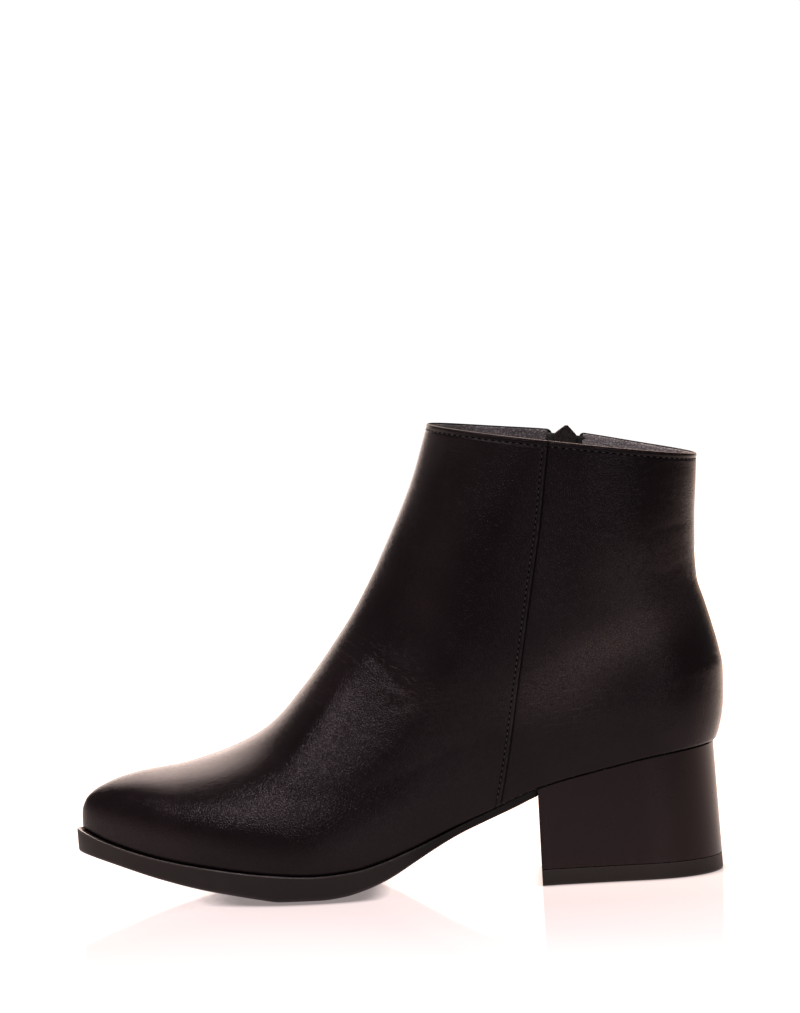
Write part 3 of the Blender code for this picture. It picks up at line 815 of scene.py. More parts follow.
def make_grain_group():
    """Grain of leather and of moulded covers: small pebbles with fine pores, and soft clouds of tone."""
    inputs = (("Place", "NodeSocketVector", None), ("Pebbles per metre", "NodeSocketFloat", 1500.0))
    writer, given, result = new_group("pebble_grain", inputs, ("Height", "Tone"))
    scale = given["Pebbles per metre"]
    bend = writer.noise(given["Place"], 260.0)
    push = writer.fit(bend, 0.0, 1.0, -0.0006, 0.0006)
    pushed = writer.add("ShaderNodeCombineXYZ", {"X": push, "Y": push, "Z": push}).outputs[0]
    shifted = writer.add("ShaderNodeVectorMath", {0: given["Place"], 1: pushed}, operation="ADD").outputs[0]
    pebble = writer.fit(writer.cell_edges(shifted, scale), 0.0, 0.3)
    pores = writer.noise(given["Place"], writer.math("MULTIPLY", scale, 2.6), 3.0)
    height = writer.math("ADD", writer.math("MULTIPLY", pebble, 0.6), writer.math("MULTIPLY", pores, 0.4))
    writer.tree.links.new(height, result["Height"])
    writer.tree.links.new(writer.noise(given["Place"], 38.0, 4.0), result["Tone"])
    return writer.tree


def make_crease_group():
    """Fine broken lines where leather or cloth bends: they run level or on a slope and wander a little."""
    inputs = (
        ("Place", "NodeSocketVector", None),
        ("Slope", "NodeSocketFloat", 0.0),
        ("Lines per metre", "NodeSocketFloat", 420.0),
        ("Wander", "NodeSocketFloat", 0.001),
        ("Strength", "NodeSocketFloat", 1.0),
    )
    writer, given, result = new_group("bend_lines", inputs, ("Lines",))
    turn = writer.add("ShaderNodeCombineXYZ", {"Y": given["Slope"]})
    level = writer.add("ShaderNodeVectorRotate", {"Vector": given["Place"], "Rotation": turn.outputs[0]},
                       rotation_type="EULER_XYZ")
    split = writer.add("ShaderNodeSeparateXYZ", {0: level.outputs[0]})
    sway = writer.fit(writer.noise(given["Place"], 160.0, 3.0), 0.0, 1.0, -1.0, 1.0)
    height = writer.math("ADD", split.outputs["Z"], writer.math("MULTIPLY", sway, given["Wander"]))
    turns = writer.math("MULTIPLY", height, writer.math("MULTIPLY", given["Lines per metre"], 2 * math.pi))
    crest = writer.fit(writer.math("SINE", turns), 0.72, 0.97)
    stretched = writer.add("ShaderNodeCombineXYZ", {
        "X": writer.math("MULTIPLY", split.outputs["X"], 0.6), "Y": split.outputs["Z"]})
    breaks = writer.fit(writer.noise(stretched.outputs[0], 420.0, 1.0), 0.45, 0.60)
    line = writer.math("MULTIPLY", crest, breaks)
    writer.tree.links.new(writer.math("MULTIPLY", line, given["Strength"]), result["Lines"])
    return writer.tree


def make_wear_group():
    """Rubbed edges: a mask of edges broken up by fine scuffs, with a little dust."""
    inputs = (
        ("Place", "NodeSocketVector", None),
        ("Edges", "NodeSocketFloat", 0.0),
        ("Scuffs per metre", "NodeSocketFloat", 400.0),
    )
    writer, given, result = new_group("rubbed_edges", inputs, ("Rubbed", "Dust"))
    scuffs = writer.noise(given["Place"], given["Scuffs per metre"], 4.0)
    rubbed = writer.math("MULTIPLY", given["Edges"], writer.fit(scuffs, 0.42, 0.72))
    dust = writer.fit(writer.noise(given["Place"], 90.0, 6.0), 0.5, 0.85)
    writer.tree.links.new(rubbed, result["Rubbed"])
    writer.tree.links.new(dust, result["Dust"])
    return writer.tree


SHARED_GROUPS = {
    "pebble_grain": make_grain_group,
    "bend_lines": make_crease_group,
    "rubbed_edges": make_wear_group,
}


def place_group(writer, name, inputs):
    """Places a shared node group in a material; the group itself is made once."""
    tree = bpy.data.node_groups.get(name) or SHARED_GROUPS[name]()
    return writer.add("ShaderNodeGroup", inputs, node_tree=tree).outputs


def rgba(colour, share=1.0):
    return (*(min(channel * share, 1.0) for channel in colour), 1.0)


def new_material(name):
    """A material with its writer and its shader."""
    material = bpy.data.materials.new(name)
    material.use_nodes = True
    return material, NodeWriter(material.node_tree), material.node_tree.nodes["Principled BSDF"]


def connect(writer, shader, colour, roughness, height, distance, strength):
    """Joins a surface's colour, roughness and bump to its shader."""
    bumps = writer.add("ShaderNodeBump", {"Height": height, "Distance": distance, "Strength": strength})
    writer.tree.links.new(colour, shader.inputs["Base Color"])
    writer.tree.links.new(roughness, shader.inputs["Roughness"])
    writer.tree.links.new(bumps.outputs["Normal"], shader.inputs["Normal"])


def leather_material(leather):
    """Near-black satin leather with pebble grain, bend lines and rubbed edges; painted highlights on the bend
    lines and along the collar rim, painted sheen on flexed patches, and painted shade that darkens and dulls
    the sewn grooves.
    """
    material, writer, shader = new_material("boot_leather")
    place = writer.place()
    grain = place_group(writer, "pebble_grain", {"Place": place, "Pebbles per metre": leather.grain})
    wear = place_group(writer, "rubbed_edges", {"Place": place, "Edges": writer.mask("edge")})
    creased, pale = 0.0, 0.0
    for line_set, lines in enumerate(table_rows(FLEX_SETS)):
        flex = writer.mask(f"flex_{line_set}")
        bends = place_group(writer, "bend_lines", {
            "Place": place, "Slope": lines["slope"], "Lines per metre": lines["lines_per_metre"],
            "Wander": lines["wander"], "Strength": flex})
        creased = writer.math("ADD", bends["Lines"], creased)
        # Painted sheen: flexed patches are lightened towards the worn colour, standing in for light glancing
        # off fine creases.
        pale = writer.math("ADD", writer.math("MULTIPLY", flex, lines["paling"]), pale)
    pit = writer.mask("pit")
    tone = writer.mix(writer.fit(grain["Tone"], 0.35, 0.7), rgba(leather.colour), rgba(leather.colour, 1.5))
    pale = writer.math("MULTIPLY", pale, writer.fit(grain["Height"], 0.25, 0.65, 0.3, 1.0))
    tone = writer.mix(pale, tone, rgba(leather.worn_and_sheen_colour, 1.1))
    # Painted highlights: the bend lines are lightened towards the worn colour, as if their edges caught the
    # light.
    crease_highlights = writer.mix(writer.math("MULTIPLY", creased, 0.5), tone, rgba(leather.worn_and_sheen_colour))
    worn = writer.mix(wear["Rubbed"], crease_highlights, rgba(leather.worn_and_sheen_colour))
    # Painted shade: the grooves, the seam gap and the front of the collar rim are darkened towards black and
    # made rougher.
    dark = writer.mix(writer.math("MULTIPLY", pit, 0.85), worn, rgba(leather.colour, 0.1))
    rough = writer.fit(grain["Tone"], 0.3, 0.75, 0.15, 0.21)
    rough = writer.math("ADD", rough, writer.math("MULTIPLY", wear["Dust"], 0.06))
    rough = writer.math("ADD", rough, writer.math("MULTIPLY", pit, 0.4))
    height = writer.math("SUBTRACT", grain["Height"], writer.math("MULTIPLY", creased, 0.7))
    connect(writer, shader, dark, rough, height, 0.00012, 0.55)
    shader.inputs["Specular IOR Level"].default_value = 0.115
    shader.inputs["Specular Tint"].default_value = (1.0, 0.88, 0.90, 1.0)
    shader.inputs["Coat Weight"].default_value = 0.02
    shader.inputs["Coat Roughness"].default_value = 0.25
    return material


def lining_material(lining):
    """Grey synthetic lining with a soft crackle and a faint sheen."""
    material, writer, shader = new_material("boot_lining")
    place = writer.place()
    grain = place_group(writer, "pebble_grain", {"Place": place, "Pebbles per metre": 700.0})
    lines = place_group(writer, "bend_lines", {
        "Place": place, "Slope": 0.3, "Lines per metre": 200.0, "Wander": 0.003, "Strength": 0.8})
    shade = writer.math("MULTIPLY", grain["Tone"], writer.fit(grain["Height"], 0.2, 0.7, 0.7, 1.3))
    tone = writer.mix(writer.fit(shade, 0.3, 0.7), rgba(lining.colour, 0.5), rgba(lining.colour, 1.5))
    height = writer.math("SUBTRACT", grain["Height"], lines["Lines"])
    rough = writer.fit(grain["Tone"], 0.3, 0.7, 0.34, 0.5)
    connect(writer, shader, tone, rough, height, 0.0006, 0.8)
    shader.inputs["Sheen Weight"].default_value = 0.15
    return material


def rubber_material(name, colour, roughness):
    """Moulded rubber: matt, with a fine tooth, coated and rubbed edges, a painted highlight where the edge
    mask runs along the sole's lip, painted shade under the arch and a little dust.
    """
    material, writer, shader = new_material(name)
    place = writer.place()
    edge = writer.mask("edge")
    wear = place_group(writer, "rubbed_edges", {"Place": place, "Edges": edge, "Scuffs per metre": 520.0})
    cloud = writer.noise(place, 60.0, 4.0)
    tone = writer.mix(cloud, rgba(colour, 0.8), rgba(colour, 1.25))
    dusty = writer.mix(writer.math("MULTIPLY", wear["Dust"], 0.25), tone, rgba(colour, 2.2))
    # Painted highlight: the edge mask lightens the colour, drawing a bright line along the sole's lip.
    lip_highlight = writer.math("MULTIPLY", edge, 0.4)
    rubbed = writer.math("ADD", lip_highlight, writer.math("MULTIPLY", wear["Rubbed"], 0.6))
    worn = writer.mix(rubbed, dusty, rgba(colour, 6.0))
    # Painted shade: the sole is darkened from under the arch back to the heel.
    worn = writer.mix(writer.math("MULTIPLY", writer.mask("waist"), 0.9), worn, rgba(colour, 0.1))
    tooth = writer.noise(place, 2600.0, 3.0)
    rough = writer.fit(cloud, 0.3, 0.7, roughness - 0.06, roughness + 0.08)
    rough = writer.math("SUBTRACT", rough, writer.math("MULTIPLY", edge, 0.15))
    connect(writer, shader, worn, rough, tooth, 0.00005, 0.35)
    writer.tree.links.new(edge, shader.inputs["Coat Weight"])
    shader.inputs["Coat Roughness"].default_value = 0.2
    shader.inputs["Specular IOR Level"].default_value = 0.18
    shader.inputs["Specular Tint"].default_value = (1.0, 0.93, 0.92, 1.0)
    return material


def heel_material(heel):
    """Smooth covered heel: satin, with faint grain, clouds of tone and rubbed edges."""
    material, writer, shader = new_material("heel_cover")
    place = writer.place()
    grain = place_group(writer, "pebble_grain", {"Place": place, "Pebbles per metre": 1900.0})
    wear = place_group(writer, "rubbed_edges", {
        "Place": place, "Edges": writer.mask("edge"), "Scuffs per metre": 300.0})
    tone = writer.mix(writer.fit(grain["Tone"], 0.3, 0.7), rgba(heel.colour), rgba(heel.colour, 1.3))
    worn = writer.mix(wear["Rubbed"], tone, rgba(heel.colour, 3.0))
    rough = writer.fit(grain["Tone"], 0.3, 0.7, 0.25, 0.32)
    connect(writer, shader, worn, rough, grain["Height"], 0.00004, 0.3)
    shader.inputs["Specular IOR Level"].default_value = 0.20
    shader.inputs["Specular Tint"].default_value = (1.0, 0.82, 0.84, 1.0)
    return material


def tape_material(zip_look):
    """Woven zip tape: ribs along the zip crossed by a tight weave."""
    material, writer, shader = new_material("zip_weave")
    place = writer.place()
    warp = writer.add("ShaderNodeTexWave", {"Vector": place, "Scale": 420.0, "Distortion": 0.4},
                      bands_direction="X").outputs["Fac"]
    weft = writer.add("ShaderNodeTexWave", {"Vector": place, "Scale": 300.0, "Distortion": 0.6},
                      bands_direction="Z").outputs["Fac"]
    weave = writer.math("MULTIPLY", warp, weft)
    tone = writer.mix(weave, rgba(zip_look.tape_colour, 0.6), rgba(zip_look.tape_colour, 1.6))
    rough = writer.fit(writer.noise(place, 300.0), 0.3, 0.7, 0.75, 0.9)
    connect(writer, shader, tone, rough, weave, 0.0002, 0.6)
    shader.inputs["Sheen Weight"].default_value = 0.2
    return material


def thread_material(name, colour, roughness):
    """Twisted thread or drawn nylon: a fine slanting twist and a soft gloss."""
    material, writer, shader = new_material(name)
    place = writer.place()
    twist = writer.add("ShaderNodeTexWave", {"Vector": place, "Scale": 700.0, "Distortion": 1.0},
                       bands_direction="DIAGONAL").outputs["Fac"]
    tone = writer.mix(twist, rgba(colour, 0.7), rgba(colour, 1.4))
    rough = writer.fit(writer.noise(place, 500.0), 0.3, 0.7, roughness - 0.05, roughness + 0.08)
    connect(writer, shader, tone, rough, twist, 0.00006, 0.4)
    return material


def hole_shade_material():
    """Painted shade for the needle pricks: near-black, dull bars laid on the leather."""
    material, writer, shader = new_material("needle_hole_shade")
    cloud = writer.noise(writer.place(), 900.0, 2.0)
    tone = writer.mix(cloud, (0.0004, 0.0003, 0.0003, 1.0), (0.0012, 0.0009, 0.0009, 1.0))
    connect(writer, shader, tone, writer.fit(cloud, 0.3, 0.7, 0.85, 1.0), cloud, 0.00004, 0.4)
    shader.inputs["Specular IOR Level"].default_value = 0.0
    return material


def metal_material(zip_look):
    """Black-plated metal with clouded plating, rubbed bright in places."""
    material, writer, shader = new_material("dark_plating")
    place = writer.place()
    wear = place_group(writer, "rubbed_edges", {"Place": place, "Edges": 0.35, "Scuffs per metre": 900.0})
    cloud = writer.noise(place, 400.0, 3.0)
    tone = writer.mix(cloud, rgba(zip_look.metal_colour, 0.8), rgba(zip_look.metal_colour, 1.3))
    worn = writer.mix(wear["Rubbed"], tone, rgba(zip_look.metal_colour, 6.0))
    rough = writer.fit(cloud, 0.3, 0.7, 0.22, 0.36)
    connect(writer, shader, worn, rough, cloud, 0.00002, 0.3)
    shader.inputs["Metallic"].default_value = 0.85
    shader.inputs["Coat Weight"].default_value = 0.6
    shader.inputs["Coat Roughness"].default_value = 0.12
    return material


# Settings

class BootLeather(bpy.types.PropertyGroup):
    """Finish of the upper."""

    colour: FloatVectorProperty(
        name="Leather", description="Colour of the leather", subtype="COLOR", size=3, min=0, max=1,
        default=(0.0066, 0.0043, 0.0050))
    # Also the colour of the painted sheen and of the painted highlights on the bend lines.
    worn_and_sheen_colour: FloatVectorProperty(
        name="Worn leather", description="Colour where the finish is rubbed or creased", subtype="COLOR",
        size=3, min=0, max=1, default=(0.045, 0.034, 0.033))
    thickness: FloatProperty(
        name="Thickness", description="Thickness of one panel", unit="LENGTH",
        default=0.85 * MM, min=0.4 * MM, max=0.9 * MM, precision=5)
    grain: FloatProperty(
        name="Pebbles", description="Pebbles of the grain in one metre",
        default=1050.0, min=300.0, max=4000.0)


class BootStitching(bpy.types.PropertyGroup):
    """Stitches of the seams and of the collar."""

    colour: FloatVectorProperty(
        name="Thread", description="Colour of the thread", subtype="COLOR", size=3, min=0, max=1,
        default=(0.0145, 0.0118, 0.0122))
    pitch: FloatProperty(
        name="Pitch", description="Distance from one stitch of a seam to the next", unit="LENGTH",
        default=2.3 * MM, min=1.5 * MM, max=5 * MM, precision=5)
    collar_pitch: FloatProperty(
        name="Collar pitch", description="Distance from one stitch of the collar to the next", unit="LENGTH",
        default=2.8 * MM, min=1.5 * MM, max=5 * MM, precision=5)
    length: FloatProperty(
        name="Length", description="Length of the thread that shows", unit="LENGTH",
        default=1.3 * MM, min=1.0 * MM, max=4 * MM, precision=5)
    thread: FloatProperty(
        name="Thread size", description="Thickness of the thread", unit="LENGTH",
        default=0.36 * MM, min=0.2 * MM, max=1.0 * MM, precision=5)


class BootLining(bpy.types.PropertyGroup):
    """Lining and sock."""

    colour: FloatVectorProperty(
        name="Lining", description="Colour of the lining and the sock", subtype="COLOR", size=3, min=0, max=1,
        default=(0.20, 0.185, 0.19))


class BootSole(bpy.types.PropertyGroup):
    """Outsole, heel and top lift."""

    rubber_colour: FloatVectorProperty(
        name="Sole rubber", description="Colour of the outsole", subtype="COLOR", size=3, min=0, max=1,
        default=(0.0125, 0.0098, 0.0096))
    lift_colour: FloatVectorProperty(
        name="Top lift", description="Colour of the lift that the heel stands on", subtype="COLOR",
        size=3, min=0, max=1, default=(0.0182, 0.0152, 0.0138))
    colour: FloatVectorProperty(
        name="Heel cover", description="Colour of the heel", subtype="COLOR", size=3, min=0, max=1,
        default=(0.0064, 0.0034, 0.0037))
    tread_pitch: FloatProperty(
        name="Tread pitch", description="Distance from one tread groove to the next", unit="LENGTH",
        default=5.0 * MM, min=3 * MM, max=12 * MM, precision=5)
    tread_depth: FloatProperty(
        name="Tread depth", description="Depth of the tread grooves", unit="LENGTH",
        default=0.7 * MM, min=0.0, max=1.2 * MM, precision=5)


class BootZip(bpy.types.PropertyGroup):
    """Zip on the inner side."""

    tape_colour: FloatVectorProperty(
        name="Tape", description="Colour of the woven tape", subtype="COLOR", size=3, min=0, max=1,
        default=(0.012, 0.011, 0.011))
    coil_colour: FloatVectorProperty(
        name="Coil", description="Colour of the coil teeth", subtype="COLOR", size=3, min=0, max=1,
        default=(0.014, 0.013, 0.013))
    metal_colour: FloatVectorProperty(
        name="Slider", description="Colour of the slider and its pull tab", subtype="COLOR",
        size=3, min=0, max=1, default=(0.016, 0.015, 0.016))
    tooth_pitch: FloatProperty(
        name="Tooth pitch", description="Distance from one tooth to the next on the same side", unit="LENGTH",
        default=1.5 * MM, min=1.0 * MM, max=3 * MM, precision=5)


class BootStage(bpy.types.PropertyGroup):
    """Floor and light."""

    floor_colour: FloatVectorProperty(
        name="Floor", description="Colour of the floor", subtype="COLOR", size=3, min=0, max=1,
        default=(0.14, 0.128, 0.127))
    glow_colour: FloatVectorProperty(
        name="Floor glow", description="Light that comes up through the floor", subtype="COLOR",
        size=3, min=0, max=1, default=(1.0, 0.86, 0.86))
    light: FloatProperty(
        name="Light", description="Strength of the lamps and of the floor's glow together",
        default=1.0, min=0.1, max=4.0)


# The upper

def front_columns(ring):
    """Stations of the front panel: from the side seam round the toe or shin to the zip."""
    seam = ring.crossing(seam_forward)
    opening = ring.crossing(zip_forward) + ZIP_SLOT_HALF
    outer = spread_from(ring.front, seam + EDGE_STEPS[-1], FRONT_COUNT)[::-1]
    inner = spread_from(ring.front, opening + EDGE_STEPS[-1], FRONT_COUNT)
    return (
        (np.concatenate([seam + EDGE_STEPS[:-1], outer]), 1),
        (np.concatenate([inner[1:], opening + EDGE_STEPS[-2::-1]]), -1),
    )


TONGUE_STEPS = np.array((5.0, 3.5, 2.0, 1.0, 0.4, 0.0, -1.8, -3.6, -5.5, -7.4, -9.2))
LAP_STEPS = np.array((-4.0, -2.6, -1.6, -1.1, -0.8, -0.6, -0.45, -0.3, -0.15, 0.1, 0.6, 1.6, 3.2, 5.0))


def back_columns(ring):
    """Stations of the back panel: from under the zip, round the heel, to under the side seam."""
    seam = ring.crossing(seam_forward)
    zip_line = ring.crossing(zip_forward)
    opening = zip_line - ZIP_SLOT_HALF
    inner = spread_from(ring.back, opening - EDGE_STEPS[-1], BACK_COUNT)[::-1]
    outer = spread_from(ring.back, seam + LAP_STEPS[0], BACK_COUNT)
    return (
        (np.concatenate([zip_line + ZIP_SLOT_HALF + TONGUE_STEPS, opening - EDGE_STEPS[:-1], inner]), -1),
        (np.concatenate([outer[1:], seam + LAP_STEPS[1:]]), 1),
    )


def stitch_groove(gap, place):
    return bump(gap, place, GROOVE_WIDTH)


def worn_edge(gap):
    """How rubbed a cut edge is at this distance from it."""
    return EDGE_WEAR * bump(gap, 0.4, 0.4)


def sewn_edge(gap):
    """Profile of a panel's sewn edge: rounded, a little full before the stitches, drawn in under them."""
    return 0.12 * bump(gap, 0.9, 0.6) - edge_roll(gap, 0.25) - 0.26 * stitch_groove(gap, STITCH_STEP)


def collar_edge(gap):
    """Profile of the folded collar edge."""
    return 0.10 * bump(gap, 1.1, 0.8) - edge_roll(gap, 0.45) - 0.24 * bump(gap, COLLAR_DROP, 0.42)


def drawn_under(rise):
    """The upper turns in at the feather line."""
    return -edge_roll(rise, 1.3)


def collar_corner(sheet, from_opening):
    """How far the collar drops where its corner turns down into the zip opening."""
    return edge_roll(from_opening, CORNER_ROUND) * ease(9.0, 1.0, sheet.below_collar)


def lap_left(gap):
    """Share of a lap's step that is left at this distance from its seam."""
    return np.clip(1 - gap / SEAM_FADE, 0, 1) ** 2


def closed_below_zip(sheet):
    """1 on the levels below the zip, where the panels lap over each other, and 0 beside it."""
    return 1 - ease(ZIP_BOTTOM_RISE - ZIP_FOOT_FADE, ZIP_BOTTOM_RISE + ZIP_FOOT_FADE, sheet.levels)[:, None]


def front_sheet():
    sheet = Sheet(ring_levels(), front_columns)
    from_opening = np.maximum(sheet.from_zip - ZIP_SLOT_HALF, 0)
    from_seam = np.maximum(sheet.from_seam, 0)
    lap = SEAM_STEP * lap_left(from_seam) + closed_below_zip(sheet) * SEAM_STEP * lap_left(from_opening)
    sheet.move_out(
        lap + sewn_edge(from_seam) + sewn_edge(from_opening) + collar_edge(sheet.below_collar)
        + drawn_under(sheet.rise) + hand_waves(sheet) - crease_depth(sheet))
    sheet.points[..., 2] -= collar_corner(sheet, from_opening)
    sheet.edge = np.maximum(worn_edge(from_seam), worn_edge(from_opening))
    sheet.rim_wear = FRONT_RIM_HIGHLIGHT
    # Painted shade in the stitch grooves and, towards the front, along the collar rim.
    sheet.pit = np.maximum.reduce([
        stitch_groove(from_seam, STITCH_STEP), stitch_groove(from_opening, STITCH_STEP),
        stitch_groove(sheet.below_collar, COLLAR_DROP),
        0.8 * bump(sheet.below_collar, 0, 0.6) * ease(*SHADED_RIM, sheet.points[..., 0])])
    return sheet


def back_sheet():
    sheet = Sheet(ring_levels(), back_columns)
    across = np.abs(sheet.points[..., 1])
    at_back = ease(*BACK_SEAM_REACH, sheet.points[..., 0])
    closed = closed_below_zip(sheet)
    behind_seam = np.where(sheet.side > 0, np.maximum(-sheet.from_seam, 0), FAR)
    gap = 1 - ease(SEAM_GAP * 0.6, SEAM_GAP * 1.5, behind_seam)
    behind_zip = np.where(sheet.side < 0, np.maximum(ZIP_SLOT_HALF - sheet.from_zip, 0), FAR)
    lap = UNDERLAP * lap_left(behind_seam) + closed * UNDERLAP * lap_left(behind_zip)
    from_opening = np.where(sheet.side < 0, np.maximum(-ZIP_SLOT_HALF - sheet.from_zip, 0), FAR)
    back_seam = at_back * (0.14 * bump(across, 1.6, 1.0) - 0.3 * bump(across, 0, 0.5))
    sheet.move_out(
        back_seam + (1 - closed) * sewn_edge(from_opening) - lap - SEAM_GAP_DEPTH * gap
        + collar_edge(sheet.below_collar) + drawn_under(sheet.rise) + hand_waves(sheet) - crease_depth(sheet))
    sheet.points[..., 2] -= collar_corner(sheet, from_opening)
    sheet.edge = (1 - closed) * worn_edge(from_opening)
    sheet.rim_wear = BACK_RIM_HIGHLIGHT
    # Painted shade in the seam gap, down the back seam and in the stitch grooves.
    sheet.pit = np.maximum.reduce([
        gap, at_back * bump(across, 0, 0.4), (1 - closed) * stitch_groove(from_opening, STITCH_STEP),
        stitch_groove(sheet.below_collar, COLLAR_DROP)])
    return sheet


def leather_piece(name, sheet, faces, material, leather, replaced=()):
    mesh = mesh_from(name, sheet.points.reshape(-1, 3), faces, outwards=False)
    # The edge mask carries rubbed edges and the painted highlight on the collar rim; the next mask carries
    # the painted shade of the grooves.
    store_mask(mesh, "edge", np.maximum(sheet.edge, sheet.rim_wear * bump(sheet.below_collar, 0.4, 0.5)))
    store_mask(mesh, "pit", sheet.pit)
    for line_set in range(len(FLEX_SETS["slope"])):
        store_mask(mesh, f"flex_{line_set}", flex_mask(sheet, line_set))
    thicken(add_piece(name, mesh, material, replaced), leather.thickness / MM)


class BOOT_OT_upper(bpy.types.Operator):
    """Makes the front and back leather panels with their laps, edges and creases"""

    bl_idname = "boot.upper"
    bl_label = "Upper"

    def execute(self, context):
        leather = context.scene.boot_leather
        material = leather_material(leather)
        front, back = front_sheet(), back_sheet()
        leather_piece("front_panel", front, front.faces(), material, leather, ("upper",))
        slot_columns = len(TONGUE_STEPS)

        def covers(row, column):
            return column >= slot_columns or back.levels[row + 1] <= ZIP_BOTTOM_RISE

        leather_piece("back_panel", back, back.faces(covers), material, leather)
        return {"FINISHED"}


class BOOT_OT_stitching(bpy.types.Operator):
    """Sews the side seam, the collar, the zip edges and the foot of the zip, and lays dark bars of painted
    shade where each needle hole lies
    """

    bl_idname = "boot.stitching"
    bl_label = "Stitching"

    def execute(self, context):
        stitching = context.scene.boot_stitching
        front, back = front_sheet(), back_sheet()
        front_out, back_out = front.normals(), back.normals()
        seam_column = int(np.argmin(np.abs(EDGE_STEPS - STITCH_STEP)))
        collar_row = int(np.argmin(np.abs(COLLAR_RISE - COLLAR_STITCH - front.levels)))
        zip_row = int(np.argmax(front.levels >= ZIP_BOTTOM_RISE))
        foot_row = len(FOOT_STEPS)
        zip_column = front.points.shape[1] - 1 - seam_column
        rear_column = len(TONGUE_STEPS) + seam_column
        lap_column = back.points.shape[1] - int(np.sum(LAP_STEPS > -SEAM_GAP))
        upwards, by_zip = slice(foot_row, collar_row), slice(zip_row, collar_row)
        tack = slice(TACK_START, rear_column)
        seam_pitch, collar_pitch = stitching.pitch / MM, stitching.collar_pitch / MM
        runs = [
            (front.points, front_out, upwards, seam_column, seam_pitch),
            (front.points, front_out, upwards, zip_column, seam_pitch),
            (back.points, back_out, by_zip, rear_column, seam_pitch),
            (front.points, front_out, collar_row, slice(seam_column, zip_column + 1), collar_pitch),
            (back.points, back_out, collar_row, slice(rear_column, lap_column), collar_pitch),
            *((back.points, back_out, zip_row - below, tack, seam_pitch) for below in TACK_ROWS),
        ]
        stitches, hole_shades = [], []
        for points, out, rows, columns, pitch in runs:
            row = stitch_row(points[rows, columns], out[rows, columns], pitch, stitching)
            stitches += row[0]
            hole_shades += row[1]
        mesh = mesh_from("stitching", *joined(stitches))
        thread = thread_material("sewing_thread", stitching.colour, THREAD_ROUGHNESS)
        add_piece("stitching", mesh, thread)
        add_piece("needle_hole_shade", mesh_from("needle_hole_shade", *joined(hole_shades)), hole_shade_material())
        return {"FINISHED"}


LINING_SLOT_HALF = 7.2
LINING_START = 0.8
LINING_END_DROP = 7.0
LINING_RIM_STEPS = np.array((5.5, 4.4, 3.5, 2.9, 2.4, 1.95, 1.5, 1.1, 0.7, 0.4))
LINING_DEPTH = 1.45
LINING_THICKNESS = 0.4
LINING_RINGS = 104
LINING_COUNT = 74
PUCKER_PITCH = 4.6
SOCK_STATIONS = 110
SOCK_ROWS = table(
    "out lift",
    (-9.0, 0.15), (-5.0, 0.05), (-3.0, -0.1), (-2.1, -0.45), (-1.8, -0.9), (-1.8, -2.4),
)
LINING_WRINKLES = table(
    "forward height long tall slope",
    (78, 168, 7, 1.4, 0.9), (70, 160, 8, 1.6, -0.6), (88, 171, 8, 1.3, 0.4), (98, 166, 9, 1.6, -0.8),
    (44, 160, 8, 1.5, 0.7), (34, 163, 7, 1.3, -0.5), (26, 158, 8, 1.5, 0.3), (50, 152, 10, 1.8, -0.3),
    (84, 154, 10, 1.8, 0.2), (64, 148, 12, 2.0, 0.5),
)


def lining_columns(ring):
    """Stations of the lining: from the zip over the toe, then by the outer side and round the heel."""
    zip_line = ring.crossing(zip_forward)
    ahead = spread_from(ring.front, zip_line + LINING_SLOT_HALF, LINING_COUNT)[::-1]
    halfway = (ring.front + ring.back) / 2
    from_toe = spread_from(ring.front, halfway, LINING_COUNT)[1:]
    to_heel = spread_from(ring.back, halfway, LINING_COUNT)[-2::-1]
    behind = spread_from(ring.back, zip_line - LINING_SLOT_HALF, LINING_COUNT // 2)[1:]
    return (ahead, -1), (np.concatenate([from_toe, to_heel]), 1), (behind, -1)


def lining_sheet():
    """The lining: inside the leather, puckered under the rim, with wrinkles where the foot goes in."""
    body = np.linspace(LINING_START, COLLAR_RISE - LINING_END_DROP, LINING_RINGS)
    sheet = Sheet(np.concatenate([body, COLLAR_RISE - LINING_RIM_STEPS]), lining_columns)
    forward, across, height = (sheet.points[..., k] for k in range(3))
    wrinkles = 0.1 * np.sin(across / 5.0 + height / 6.0)
    for fold in table_rows(LINING_WRINKLES):
        way = (math.cos(fold["slope"]), math.sin(fold["slope"]))
        along, aside = turned(forward - fold["forward"], height - fold["height"], way)
        wrinkles = wrinkles + 0.5 * bump(along, 0, fold["long"]) * bump(aside, 0, fold["tall"])
    pucker = 0.12 * np.sin(forward * 2 * math.pi / PUCKER_PITCH) * bump(sheet.below_collar, 4.5, 2.0)
    fold_in = LINING_DEPTH - 0.5 * bump(sheet.below_collar, 0, 1.2)
    fold_in = fold_in + 0.4 * bump(sheet.from_seam, 0, 7.0) * (sheet.side > 0)
    sheet.move_out(
        fold_in + (wrinkles + pucker) * ease(1.0, 4.0, sheet.below_collar)
        - 0.15 * bump(sheet.below_collar, COLLAR_DROP, 0.5))
    return sheet


